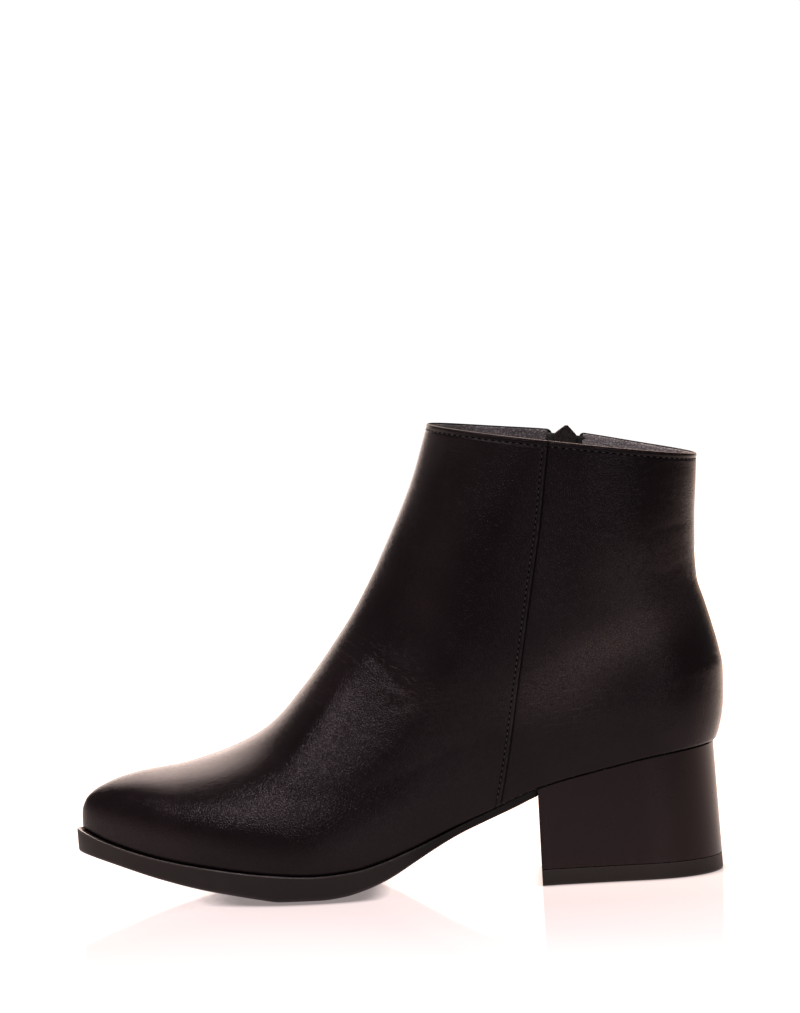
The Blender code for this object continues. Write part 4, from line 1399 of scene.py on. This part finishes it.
class BOOT_OT_lining(bpy.types.Operator):
    """Makes the wrinkled lining inside the upper and the sock on the insole"""

    bl_idname = "boot.lining"
    bl_label = "Lining and sock"

    def execute(self, context):
        material = lining_material(context.scene.boot_lining)
        sheet = lining_sheet()
        rows, columns = sheet.points.shape[:2]
        faces = sheet.faces()
        for r in range(rows - 1):
            if sheet.levels[r + 1] <= ZIP_BOTTOM_RISE:
                low, high = r * columns, (r + 1) * columns
                faces.append((low + columns - 1, high + columns - 1, high, low))
        mesh = mesh_from("lining", sheet.points.reshape(-1, 3), faces, outwards=False)
        thicken(add_piece("lining", mesh, material), LINING_THICKNESS)
        loop = whole_footprint(SOCK_STATIONS)
        top = feather(loop[:, 0]) + INSOLE_THICKNESS
        loops = [at_height(grown(loop, row["out"]), top + row["lift"]) for row in table_rows(SOCK_ROWS)]
        add_piece("sock", mesh_from("sock", *slab(loops)), material, ("insole",))
        return {"FINISHED"}


# The bottom

SOLE_STATIONS = 240
TREAD_COLUMNS = 34
TREAD_ROLL = 0.45
TREAD_FORWARD = (140.0, 240.0)
TREAD_FADE = 2.0
TREAD_BORDER = (5.0, 6.5)
TREAD_ARC = 0.006
TREAD_WEAR = 0.25
# Edge mask for each row of the sole from its top face down: a painted highlight along the lip's top edge,
# then rubbed wear round the foot of the edge.
SOLE_WEAR_AND_LIP_HIGHLIGHT = [0.0] * 3 + [0.2, 0.5, 0.9, 0.6, 0.1] + [0.0] * 5 + [0.1, 0.2, 0.3, 0.3, 0.2]
SOLE_ROUGHNESS = 0.52
# Forward stations between which the painted shade on the sole fades out towards the toe.
WAIST_SHADE = (136.0, 112.0)


def sole_rows(station):
    """Offsets from the footprint and heights of the sole's rows, from its top face down to the tread."""
    ledge, lip, low = (sole_size[name](station) for name in ("ledge", "lip", "bottom"))
    top = feather(station) - GAP
    bottom = np.where(station < SEAT_END, top - SEAT_THICKNESS, low)
    edge = np.minimum(EDGE_ROUND, 0.35 * (top - bottom))
    inside = np.minimum(0.5, ledge - 0.8)
    raised = ease(0.0, 0.5, lip)
    rows = [
        (inside - 5.0, top - 0.05),
        (inside, top),
        (inside + 0.05, top + 0.8 * lip),
        (inside + 0.16, top + lip),
        (ledge - 0.5, top + lip),
        (ledge - 0.2, top + lip - 0.06 * raised),
        (ledge - 0.04, top + lip - 0.2 * raised),
        (ledge, top + lip - 0.5 * raised - 0.1),
    ]
    wall_top, wall_foot = top + lip - 0.5 * raised - 0.3, bottom + edge
    rows.append((ledge, wall_top))
    rows += [(ledge - 0.2 * t, wall_top + (wall_foot - wall_top) * t) for t in (0.25, 0.5, 0.75, 1.0)]
    turn_in, turn_up = 0.5 * edge, TREAD_ROLL * edge
    corner_up = turn_up * (1 + (turn_in - 0.2) / (TREAD_INSET - turn_in))
    for t in (0.2, 0.4, 0.6, 0.8, 1.0):
        out = 0.2 * (1 - t**2) + turn_in * t**2
        up = edge * (1 - t) ** 2 + 2 * corner_up * t * (1 - t) + turn_up * t**2
        rows.append((ledge - out, bottom + up))
    return rows, turn_up


class BOOT_OT_outsole(bpy.types.Operator):
    """Makes the outsole with its raised lip, rounded edge and tread grooves"""

    bl_idname = "boot.outsole"
    bl_label = "Outsole"

    def execute(self, context):
        sole = context.scene.boot_sole
        loop = whole_footprint(SOLE_STATIONS)
        station = loop[:, 0]
        rows, roll = sole_rows(station)
        loops = [at_height(grown(loop, out), height) for out, height in rows]
        count = len(loop)
        faces = rungs(0, count, True) + walls(loops)
        tread, tread_faces = self.tread(loops[-1], roll, sole, len(loops) * count, (len(loops) - 1) * count)
        points = np.concatenate([*loops, tread])
        mesh = mesh_from("outsole", points, faces + tread_faces)
        store_mask(mesh, "edge", np.append(np.repeat(SOLE_WEAR_AND_LIP_HIGHLIGHT, count), np.full(len(tread), TREAD_WEAR)))
        store_mask(mesh, "waist", ease(*WAIST_SHADE, points[:, 0]))
        material = rubber_material("sole_rubber", sole.rubber_colour, SOLE_ROUGHNESS)
        add_piece("sole", mesh, material, ("outsole",))
        return {"FINISHED"}

    def tread(self, rim, roll, sole, start, rim_start):
        """The face that meets the ground, with grooves across the forefoot inside a plain border."""
        half = len(rim) // 2
        outer, inner = rim[1:half], rim[:half:-1]
        share = (np.arange(TREAD_COLUMNS) + 1.0) / (TREAD_COLUMNS + 1.0)
        grid = outer[:, None] + (inner - outer)[:, None] * share[None, :, None]
        forward, across = grid[..., 0], grid[..., 1]
        width = np.abs(inner - outer)[:, None, 1]
        from_rim = np.minimum(share, 1 - share)[None, :] * width
        back, front = TREAD_FORWARD
        inside = ease(*TREAD_BORDER, from_rim) * ease(back, back + TREAD_FADE, forward)
        inside = inside * (1 - ease(front - TREAD_FADE, front, forward))
        arc = forward + TREAD_ARC * (across - footprint_centre(forward)) ** 2
        wave = np.cos(2 * np.pi * arc / (sole.tread_pitch / MM))
        grid[..., 2] -= roll[1:half, None] * np.clip(from_rim / (TREAD_INSET - EDGE_ROUND / 2), 0, 1)
        grid[..., 2] += sole.tread_depth / MM * inside * ease(0.35, 0.75, wave)
        rows = half - 1
        faces = []
        last = TREAD_COLUMNS - 1
        index = start + np.arange(rows * TREAD_COLUMNS).reshape(rows, TREAD_COLUMNS)
        left = rim_start + 1 + np.arange(rows)
        right = rim_start + len(rim) - 1 - np.arange(rows)
        for r in range(rows - 1):
            faces.append((left[r], left[r + 1], index[r + 1, 0], index[r, 0]))
            faces.append((index[r, last], index[r + 1, last], right[r + 1], right[r]))
            for c in range(last):
                faces.append((index[r, c], index[r + 1, c], index[r + 1, c + 1], index[r, c + 1]))
        for row, end in ((0, rim_start), (rows - 1, rim_start + half)):
            chain = [left[row], *index[row], right[row]]
            faces += [(end, chain[k], chain[k + 1]) for k in range(len(chain) - 1)]
        faces = [tuple(int(k) for k in face) for face in faces]
        return grid.reshape(-1, 3), faces


HEEL_STATIONS = 44
HEEL_LEVELS = 9
HEEL_CORNER = 27.5
HEEL_EDGE = 0.25
LIFT_EDGE = 0.15
LIFT_ROUGHNESS = 0.5
LIFT_ROWS = table(
    "out level",
    (0.0, TOP_LIFT), (0.0, TOP_LIFT - 0.4), (0.0, 3.0), (0.0, 1.2), (0.0, 0.7), (-0.15, 0.3), (-0.4, 0.06),
    (-0.9, 0.0), (-5.0, 0.0),
)


def heel_plan(front):
    """Plan of the heel under the upper, with two points on its straight front that the rim leaves free."""
    loop = outline_loop(spread_from(float(back_at(0.0)), front, HEEL_STATIONS), False)
    loop = grown(loop, -HEEL_INSET)
    loop[:, 0] = np.minimum(loop[:, 0], front)
    half = len(loop) // 2
    corner, mate = loop[half], loop[half + 1]
    inset = np.array([0.0, HEEL_RIM])
    return np.concatenate([loop[: half + 1], [corner - inset, mate + inset], loop[half + 1:]]), half


def heel_loop(plan, height):
    """The plan at one height: narrower below, and longer at the back."""
    seat = feather(plan[:, 0]) - GAP
    drop = 1 - height / seat
    narrow = plan.copy()
    narrow[:, 1] *= 1 - (1 - HEEL_TAPER) * drop
    narrow[:, 0] -= HEEL_FLARE * drop * (HEEL_BREAST - plan[:, 0]) / HEEL_BREAST
    return at_height(narrow, height)


class BOOT_OT_heel(bpy.types.Operator):
    """Makes the covered block heel and the rubber top lift under it"""

    bl_idname = "boot.heel"
    bl_label = "Heel and top lift"

    def execute(self, context):
        sole = context.scene.boot_sole
        plan, half = heel_plan(HEEL_BREAST)
        seat = feather(plan[:, 0]) - GAP
        floor = seat - SEAT_THICKNESS - GAP
        rim = seat.copy()
        rim[half + 1:half + 3] = floor[half + 1:half + 3]
        cup = grown(plan, -HEEL_RIM)
        cup[:, 0] = np.minimum(cup[:, 0], HEEL_BREAST)
        cup[half:half + 4, 0] = HEEL_BREAST
        cup[half], cup[half + 3] = plan[half + 1], plan[half + 2]
        foot, shoulder = TOP_LIFT + GAP, floor - 0.2
        levels = [rim] + [shoulder + (foot - shoulder) * t for t in np.linspace(0, 1, HEEL_LEVELS)]
        loops = [at_height(cup, floor), *(heel_loop(plan, level) for level in levels)]
        points, faces = slab(loops, False)
        mesh = mesh_from("heel", points, faces)
        corner = bump(points[:, 0], HEEL_BREAST, 1.2) * bump(np.abs(points[:, 1]), HEEL_CORNER, 2.0)
        low = bump(points[:, 2], foot, 1.2)
        store_mask(mesh, "edge", np.clip(0.6 * corner + 0.6 * low, 0, 1))
        heel = add_piece("heel", mesh, heel_material(sole), ("heel_block",))
        soften_edges(heel, HEEL_EDGE)
        loops = []
        for row in table_rows(LIFT_ROWS):
            loop = heel_loop(plan, np.full(len(plan), row["level"]))
            loop[:, :2] = grown(loop[:, :2], row["out"])
            loops.append(loop)
        points, faces = slab(loops, False)
        mesh = mesh_from("lift", points, faces)
        at_floor, at_heel = bump(points[:, 2], 0.2, 0.4), bump(points[:, 2], TOP_LIFT, 0.3)
        store_mask(mesh, "edge", 0.4 * at_floor + 0.15 * at_heel)
        rubber = rubber_material("lift_rubber", sole.lift_colour, LIFT_ROUGHNESS)
        lift = add_piece("lift", mesh, rubber, ("top_lift",))
        soften_edges(lift, LIFT_EDGE)
        return {"FINISHED"}


# The zip

def zip_frame(height):
    """A frame on the inner skin at the zip: its origin, the way to the toe, up along the zip, and out."""
    reach = ZIP_FRAME_REACH

    def skin(forward, level):
        return np.array([float(forward), float(skin_across(forward, level, -1)), level])

    line = zip_forward(height)
    above, below = height + reach, height - reach
    up = unit(skin(zip_forward(above), above) - skin(zip_forward(below), below))
    ahead = skin(line + reach, height) - skin(line - reach, height)
    out = unit(np.cross(ahead, up))
    return skin(line, height), np.cross(up, out), up, out


def collar_at_zip():
    return float(COLLAR.height(COLLAR.crossing(zip_forward))) + ZIP_TOP_LIFT


def set_on(zip_axes, local):
    """Points given as across, up and out of a zip frame, in boot millimetres."""
    origin, across, up, out = zip_axes
    local = np.asarray(local, float)
    return origin + local[..., :1] * across + local[..., 1:2] * up + local[..., 2:3] * out


TAPE_PROFILE = table("across depth", (0.2, 0.9), (1.0, 0.95), (5.0, 1.0), (8.6, 1.0), (8.6, 1.3), (0.2, 1.4))
TAPE_SECTIONS = 90
TAPE_BELOW = 5.0
COIL_BELOW = 2.0
COIL_ROUGHNESS = 0.4
TOOTH_PLACE = (0.95, 0.0, -0.25)
TOOTH_LENGTH = 3.3
TOOTH_RADIUS = 0.55
TOOTH_ARCH = 0.25
TOOTH_SLANT = 0.12


class BOOT_OT_zip(bpy.types.Operator):
    """Makes the zip's woven tapes and its coil teeth"""

    bl_idname = "boot.zip"
    bl_label = "Zip tapes and coil"

    def execute(self, context):
        look = context.scene.boot_zip
        weave = tape_material(look)
        for name, node, side in (("tape_front", "zip_tape_front", 1), ("tape_rear", "zip_tape_rear", -1)):
            sections = []
            for level in np.linspace(ZIP_BOTTOM_RISE - TAPE_BELOW, COLLAR_RISE - TAPE_TOP, TAPE_SECTIONS):
                ring = Ring(level)
                line = ring.crossing(zip_forward)
                out = zip_frame(float(ring.height(line)))[3]
                skin = ring.points(line + side * TAPE_PROFILE["across"], -1)
                sections.append(skin - out * TAPE_PROFILE["depth"][:, None])
            add_piece(name, mesh_from(name, *strip(sections)), weave, (node,))
        foot = Ring(ZIP_BOTTOM_RISE - COIL_BELOW)
        start = float(foot.height(foot.crossing(zip_forward)))
        end = collar_at_zip() - CHAIN_TOP
        pitch = look.tooth_pitch / MM
        shells = []
        for k in range(int((end - start) / pitch * 2)):
            axes = zip_frame(start + k * pitch / 2)
            side = 1 if k % 2 else -1
            centre = set_on(axes, [np.multiply(TOOTH_PLACE, (side, 1, 1))])
            across = (side * axes[1] + TOOTH_SLANT * axes[2])[None]
            shells += threads(centre, across, axes[3][None], TOOTH_LENGTH, TOOTH_RADIUS, TOOTH_ARCH)
        coil = thread_material("coil_nylon", look.coil_colour, COIL_ROUGHNESS)
        add_piece("coil", mesh_from("coil", *joined(shells)), coil, ("zip_chain",))
        return {"FINISHED"}


def corners_cut(outline, rounds, share=0.25):
    """The outline with its corners cut again and again, so that they turn round."""
    for _ in range(rounds):
        after = np.roll(outline, -1, axis=0)
        ends = [(1 - share) * outline + share * after, share * outline + (1 - share) * after]
        outline = np.stack(ends, axis=1).reshape(-1, 2)
    return outline


def plate(outline, low, high, edge):
    """A flat plate with softly bevelled rims."""
    middle_point = outline.mean(axis=0)
    reach = np.linalg.norm(outline - middle_point, axis=1, keepdims=True)
    inset = outline - (outline - middle_point) / reach * edge
    return strip([at_height(inset, low), at_height(outline, low + edge), at_height(outline, high - edge),
                  at_height(inset, high)])


def squarish(wave, power):
    """A sine or cosine whose rounds are pressed out towards a square."""
    return np.sign(wave) * np.abs(wave) ** power


def crown_bar(top):
    """The arched bar over the slider that holds the pull tab."""
    reach = (CROWN_LENGTH - CROWN_BAR) / 2
    turn = np.linspace(0, np.pi, CROWN_STEPS)
    up = HINGE_UP - reach * squarish(np.cos(turn), CROWN_ARCH_POWER)
    rise = CROWN_CLEAR + CROWN_SINK + CROWN_BAR / 2
    out = top - CROWN_SINK + rise * squarish(np.sin(turn), CROWN_ARCH_POWER)
    path = np.stack([up, out], axis=1)
    away = unit(np.gradient(path, axis=0))
    square = np.stack([-away[:, 1], away[:, 0]], axis=1)
    turn = np.linspace(0, 2 * np.pi, CROWN_SIDES, endpoint=False)
    wide = CROWN_HALF * squarish(np.cos(turn), CROWN_BAR_POWER)
    thick = CROWN_BAR / 2 * squarish(np.sin(turn), CROWN_BAR_POWER)
    sections = []
    for place, across_bar in zip(path, square):
        ring = place + thick[:, None] * across_bar
        sections.append(np.column_stack([wide, ring]))
    return strip(sections)


class BOOT_OT_slider(bpy.types.Operator):
    """Makes the zip's slider and the pull tab that swings on its crown"""

    bl_idname = "boot.slider"
    bl_label = "Slider and pull tab"

    def execute(self, context):
        metal = metal_material(context.scene.boot_zip)
        axes = zip_frame(collar_at_zip() - SLIDER_BELOW_COLLAR)
        outline = np.column_stack([SLIDER_OUTLINE["across"], SLIDER_OUTLINE["up"]])
        outline = corners_cut(outline, 1, SLIDER_CORNER_SHARE)
        top, bottom = SLIDER_OUTER + SLIDER_PLATE, -SLIDER_INNER - SLIDER_PLATE
        wide, tall = SLIDER_POST
        corners = np.array([(-wide, -tall), (wide, -tall), (wide, tall), (-wide, tall)]) / 2
        post = corners + (0, SLIDER_POST_UP)
        shells = [
            plate(outline, SLIDER_OUTER, top, SLIDER_BEVEL),
            plate(outline, bottom, -SLIDER_INNER, SLIDER_BEVEL),
            plate(corners_cut(post, 2), bottom + SLIDER_POST_SINK, top - SLIDER_POST_SINK, SLIDER_POST_BEVEL),
            crown_bar(top),
        ]
        points, faces = joined(shells)
        mesh = mesh_from("slider", set_on(axes, points), faces)
        soften_edges(add_piece("slider", mesh, metal, ("zip_slider",)), SLIDER_EDGE)
        points, faces = self.tab()
        mesh = mesh_from("pull_tab_plate", set_on(axes, points), faces)
        tab = add_piece("pull_tab_plate", mesh, metal, ("zip_pull_tab",), "pull_tab")
        soften_edges(tab, TAB_ROUND)
        return {"FINISHED"}

    def tab(self):
        """A flat tab that widens to a round end, with an eye round the crown."""
        eye_half, eye_length = TAB_EYE
        neck_half, neck_up = TAB_NECK
        foot, end_curve = -TAB_LENGTH, -TAB_LENGTH + TAB_END_CURVE
        corners = np.array([
            (-TAB_TOP_HALF, TAB_BAR), (TAB_TOP_HALF, TAB_BAR), (neck_half, neck_up), (TAB_HALF, end_curve),
            (TAB_HALF, foot), (-TAB_HALF, foot), (-TAB_HALF, end_curve), (-neck_half, neck_up),
        ])
        outer = corners_cut(corners, 3)
        centre = np.array([0.0, -(eye_length + TAB_BAR) / 2])
        ray = unit(outer - centre)
        size = np.array([eye_half, (eye_length - TAB_BAR) / 2])
        square = TAB_EYE_SQUARENESS
        reach = (np.abs(ray / size) ** square).sum(axis=1, keepdims=True) ** (-1 / square)
        eye = centre + ray * reach
        half, edge = TAB_THICKNESS / 2, TAB_EDGE
        outer_rim, eye_rim = outer - ray * edge, eye + ray * edge
        rows = (
            (outer, half - edge), (outer, -half + edge), (outer_rim, -half), (eye_rim, -half),
            (eye, -half + edge), (eye, half - edge), (eye_rim, half), (outer_rim, half),
        )
        loops = [at_height(loop, level) for loop, level in rows]
        count = len(outer)
        faces = []
        for i in range(len(loops)):
            faces += band(i * count, (i + 1) % len(loops) * count, count)
        return np.concatenate(loops) + (0.0, HINGE_UP, HINGE_LIFT), faces


# The stage

CAMERA_PLACE = (-0.0526, 1.7690, 0.2710)
CAMERA_TURN = 1.507
CAMERA_DIP = 3.920
CAMERA_ROLL = 3.2
CAMERA_LENS = 159.7
SENSOR_WIDTH = 36.0

# Each lamp: its name, place and size in metres, roll in degrees, power in watts, colour
LIGHTS = (
    ("overhead_softbox", (0.15, -0.05, 1.50), (1.1, 0.9), 0.0, 5.0, (1.0, 0.94, 0.92)),
    ("back_softbox", (0.24, -0.90, 1.49), (1.5, 1.0), 0.0, 31.0, (1.0, 0.82, 0.76)),
    ("key_strip", (0.59, 1.19, 0.97), (1.32, 0.08), -29.0, 6.2, (1.0, 0.86, 0.92)),
    ("toe_softbox", (0.86, 0.67, 1.23), (0.25, 0.2), 0.0, 2.6, (1.0, 0.86, 0.92)),
    ("side_strip", (-0.72, 1.43, 0.23), (1.2, 0.2), 23.0, 2.0, (1.0, 0.90, 0.94)),
)
LIGHT_TARGET = Vector((0.0, 0.0, 0.06))
FLOOR_REACH = (1.05, 0.95)
FLOOR_BACK = 0.65
FLOOR_SIDES = 96
GLOW_STRENGTH = 2.2
GLOW_NEAR = (0.44, 0.44, 0.44, 1.0)
GLOW_BY_TOE = (0.6, 0.53, 0.50, 1.0)
GLOW_BEHIND = (0.8, 0.62, 0.53, 1.0)
CONTACT_SHADOW_REACH = 0.006
ROOM_WARM_HEEL = (1.0, 0.66, 0.50, 1.0)
ROOM_WARM_TOE = (1.0, 0.80, 0.72, 1.0)
ROOM_DIM = (1.0, 0.98, 1.0, 1.0)
ROOM_LEVEL = 0.12
BACKDROP_LEVEL = 1.05


def stage_camera():
    turn, dip, roll = (math.radians(angle) for angle in (CAMERA_TURN, CAMERA_DIP, CAMERA_ROLL))
    ahead = Vector((math.sin(turn) * math.cos(dip), -math.cos(turn) * math.cos(dip), -math.sin(dip)))
    right = ahead.cross(Vector((0.0, 0.0, 1.0))).normalized()
    up = right.cross(ahead)
    rolled_right = right * math.cos(roll) - up * math.sin(roll)
    rolled_up = right * math.sin(roll) + up * math.cos(roll)
    data = bpy.data.cameras.new("camera")
    data.lens = CAMERA_LENS
    data.sensor_width = SENSOR_WIDTH
    camera = bpy.data.objects.new("camera", data)
    place = Matrix((rolled_right, rolled_up, -ahead)).transposed().to_4x4()
    place.translation = CAMERA_PLACE
    camera.matrix_world = place
    bpy.context.scene.collection.objects.link(camera)
    bpy.context.scene.camera = camera


def stage_floor(stage):
    mesh = bpy.data.meshes.new("floor")
    turn = np.linspace(0, 2 * np.pi, FLOOR_SIDES, endpoint=False)
    wide, deep = FLOOR_REACH
    rim = np.stack([wide * np.cos(turn), deep * np.sin(turn) - FLOOR_BACK, 0 * turn], axis=1)
    mesh.from_pydata(rim.tolist(), [], [tuple(range(len(rim)))])
    floor = bpy.data.objects.new("floor", mesh)
    bpy.context.scene.collection.objects.link(floor)
    material, writer, shader = new_material("pale_floor")
    cloud = writer.noise(writer.place(), 3.0)
    tone = writer.mix(cloud, rgba(stage.floor_colour, 0.99), rgba(stage.floor_colour, 1.01))
    way = writer.add("ShaderNodeSeparateXYZ", {0: writer.place()})
    behind = writer.math("ADD", way.outputs["Y"], writer.math("MULTIPLY", way.outputs["X"], 0.5))
    near, by_toe = writer.fit(way.outputs["Y"], 0.07, 0.26), writer.fit(way.outputs["X"], 0.16, 0.40)
    front = writer.mix(near, rgba(stage.glow_colour, 0.375), GLOW_NEAR)
    front = writer.mix(by_toe, front, GLOW_BY_TOE)
    glow = writer.mix(writer.fit(behind, 0.10, -0.5), front, GLOW_BEHIND)
    # Painted contact shadow: the floor's glow is dimmed where the boot closes it in.
    open_to_sky = writer.add("ShaderNodeAmbientOcclusion", {"Distance": CONTACT_SHADOW_REACH}).outputs["AO"]
    glow = writer.mix(writer.fit(open_to_sky, 0.3, 0.95), rgba(stage.glow_colour, 0.12), glow)
    writer.tree.links.new(tone, shader.inputs["Base Color"])
    writer.tree.links.new(glow, shader.inputs["Emission Color"])
    shader.inputs["Roughness"].default_value = 0.05
    shader.inputs["IOR"].default_value = 1.05
    shader.inputs["Emission Strength"].default_value = GLOW_STRENGTH * stage.light
    mesh.materials.append(material)


def stage_world():
    """White to the camera; for light, a room with a bright screen behind the boot and a glow by the toe."""
    world = bpy.data.worlds.new("studio")
    world.use_nodes = True
    bpy.context.scene.world = world
    writer = NodeWriter(world.node_tree)
    world.node_tree.nodes.clear()
    way = writer.add("ShaderNodeSeparateXYZ", {0: writer.add("ShaderNodeTexCoord").outputs["Generated"]})
    level = writer.math("SQRT", writer.math("SUBTRACT", 1.0, writer.math("POWER", way.outputs["Z"], 2.0)))
    facing = writer.math("DIVIDE", way.outputs["Y"], level)
    middle_gain = writer.fit(facing, -0.95, -1.0, 1.0, 1.35)
    screen = writer.math("MULTIPLY", writer.fit(facing, -0.78, -0.96), middle_gain)
    rising = writer.fit(way.outputs["Z"], -0.1, 0.8, 1.7, 6.2)
    right = writer.fit(way.outputs["X"], -0.3, 0.3, 0.48, 1.0)
    behind = writer.math("MULTIPLY", writer.math("MULTIPLY", screen, rising), right)
    low = writer.fit(writer.math("ABSOLUTE", way.outputs["Z"]), 0.25, 0.05)
    ahead = writer.math("MULTIPLY", low, writer.fit(way.outputs["X"], 0.52, 0.93, 0.0, 1.6))
    bright = writer.math("ADD", behind, ahead)
    warm = writer.mix(writer.fit(way.outputs["X"], -0.25, 0.15), ROOM_WARM_HEEL, ROOM_WARM_TOE)
    colour = writer.mix(writer.fit(bright, 0.0, 0.5), ROOM_DIM, warm)
    strength = writer.math("ADD", bright, ROOM_LEVEL)
    room = writer.add("ShaderNodeBackground", {"Color": colour, "Strength": strength})
    white = writer.add("ShaderNodeBackground", {"Color": (1, 1, 1, 1), "Strength": BACKDROP_LEVEL})
    seen = writer.add("ShaderNodeLightPath").outputs["Is Camera Ray"]
    both = writer.add("ShaderNodeMixShader", {0: seen, 1: room.outputs[0], 2: white.outputs[0]})
    writer.add("ShaderNodeOutputWorld", {"Surface": both.outputs[0]})


def stage_lights(stage):
    for name, place, size, roll, power, colour in LIGHTS:
        data = bpy.data.lights.new(name, "AREA")
        data.shape = "RECTANGLE"
        data.size, data.size_y = size
        data.energy = power * stage.light
        data.color = colour
        light = bpy.data.objects.new(name, data)
        light.location = place
        facing = (LIGHT_TARGET - Vector(place)).to_track_quat("-Z", "Y").to_matrix()
        light.rotation_euler = (facing @ Matrix.Rotation(math.radians(roll), 3, "Z")).to_euler()
        light.visible_camera = False
        bpy.context.scene.collection.objects.link(light)


class BOOT_OT_stage(bpy.types.Operator):
    """Sets the camera at the photograph's angle, the pale floor and the soft light"""

    bl_idname = "boot.stage"
    bl_label = "Stage"

    def execute(self, context):
        stage = context.scene.boot_stage
        stage_camera()
        stage_floor(stage)
        stage_world()
        stage_lights(stage)
        context.scene.view_settings.view_transform = "Standard"
        return {"FINISHED"}


class BOOT_PT_panel(bpy.types.Panel):
    """Settings of the boot, and its pieces in the order of making"""

    bl_idname = "BOOT_PT_panel"
    bl_label = "Block heel ankle boot"
    bl_space_type = "VIEW_3D"
    bl_region_type = "UI"
    bl_category = "Boot"

    def draw(self, context):
        for name, kind in SETTINGS.items():
            box = self.layout.box()
            for setting in kind.__annotations__:
                box.prop(getattr(context.scene, name), setting)
        for operator in OPERATORS:
            self.layout.operator(operator.bl_idname)


SETTINGS = {
    "boot_leather": BootLeather,
    "boot_stitching": BootStitching,
    "boot_lining": BootLining,
    "boot_sole": BootSole,
    "boot_zip": BootZip,
    "boot_stage": BootStage,
}
OPERATORS = (
    BOOT_OT_stage,
    BOOT_OT_upper,
    BOOT_OT_stitching,
    BOOT_OT_lining,
    BOOT_OT_outsole,
    BOOT_OT_heel,
    BOOT_OT_zip,
    BOOT_OT_slider,
)


def register():
    for kind in (*SETTINGS.values(), *OPERATORS, BOOT_PT_panel):
        bpy.utils.register_class(kind)
    for name, kind in SETTINGS.items():
        setattr(bpy.types.Scene, name, PointerProperty(type=kind))


def unregister():
    for name in SETTINGS:
        delattr(bpy.types.Scene, name)
    for kind in (BOOT_PT_panel, *reversed(OPERATORS), *reversed(SETTINGS.values())):
        bpy.utils.unregister_class(kind)


def main():
    register()
    for operator in OPERATORS:
        group, name = operator.bl_idname.split(".")
        getattr(getattr(bpy.ops, group), name)()


if __name__ == "__main__":
    main()
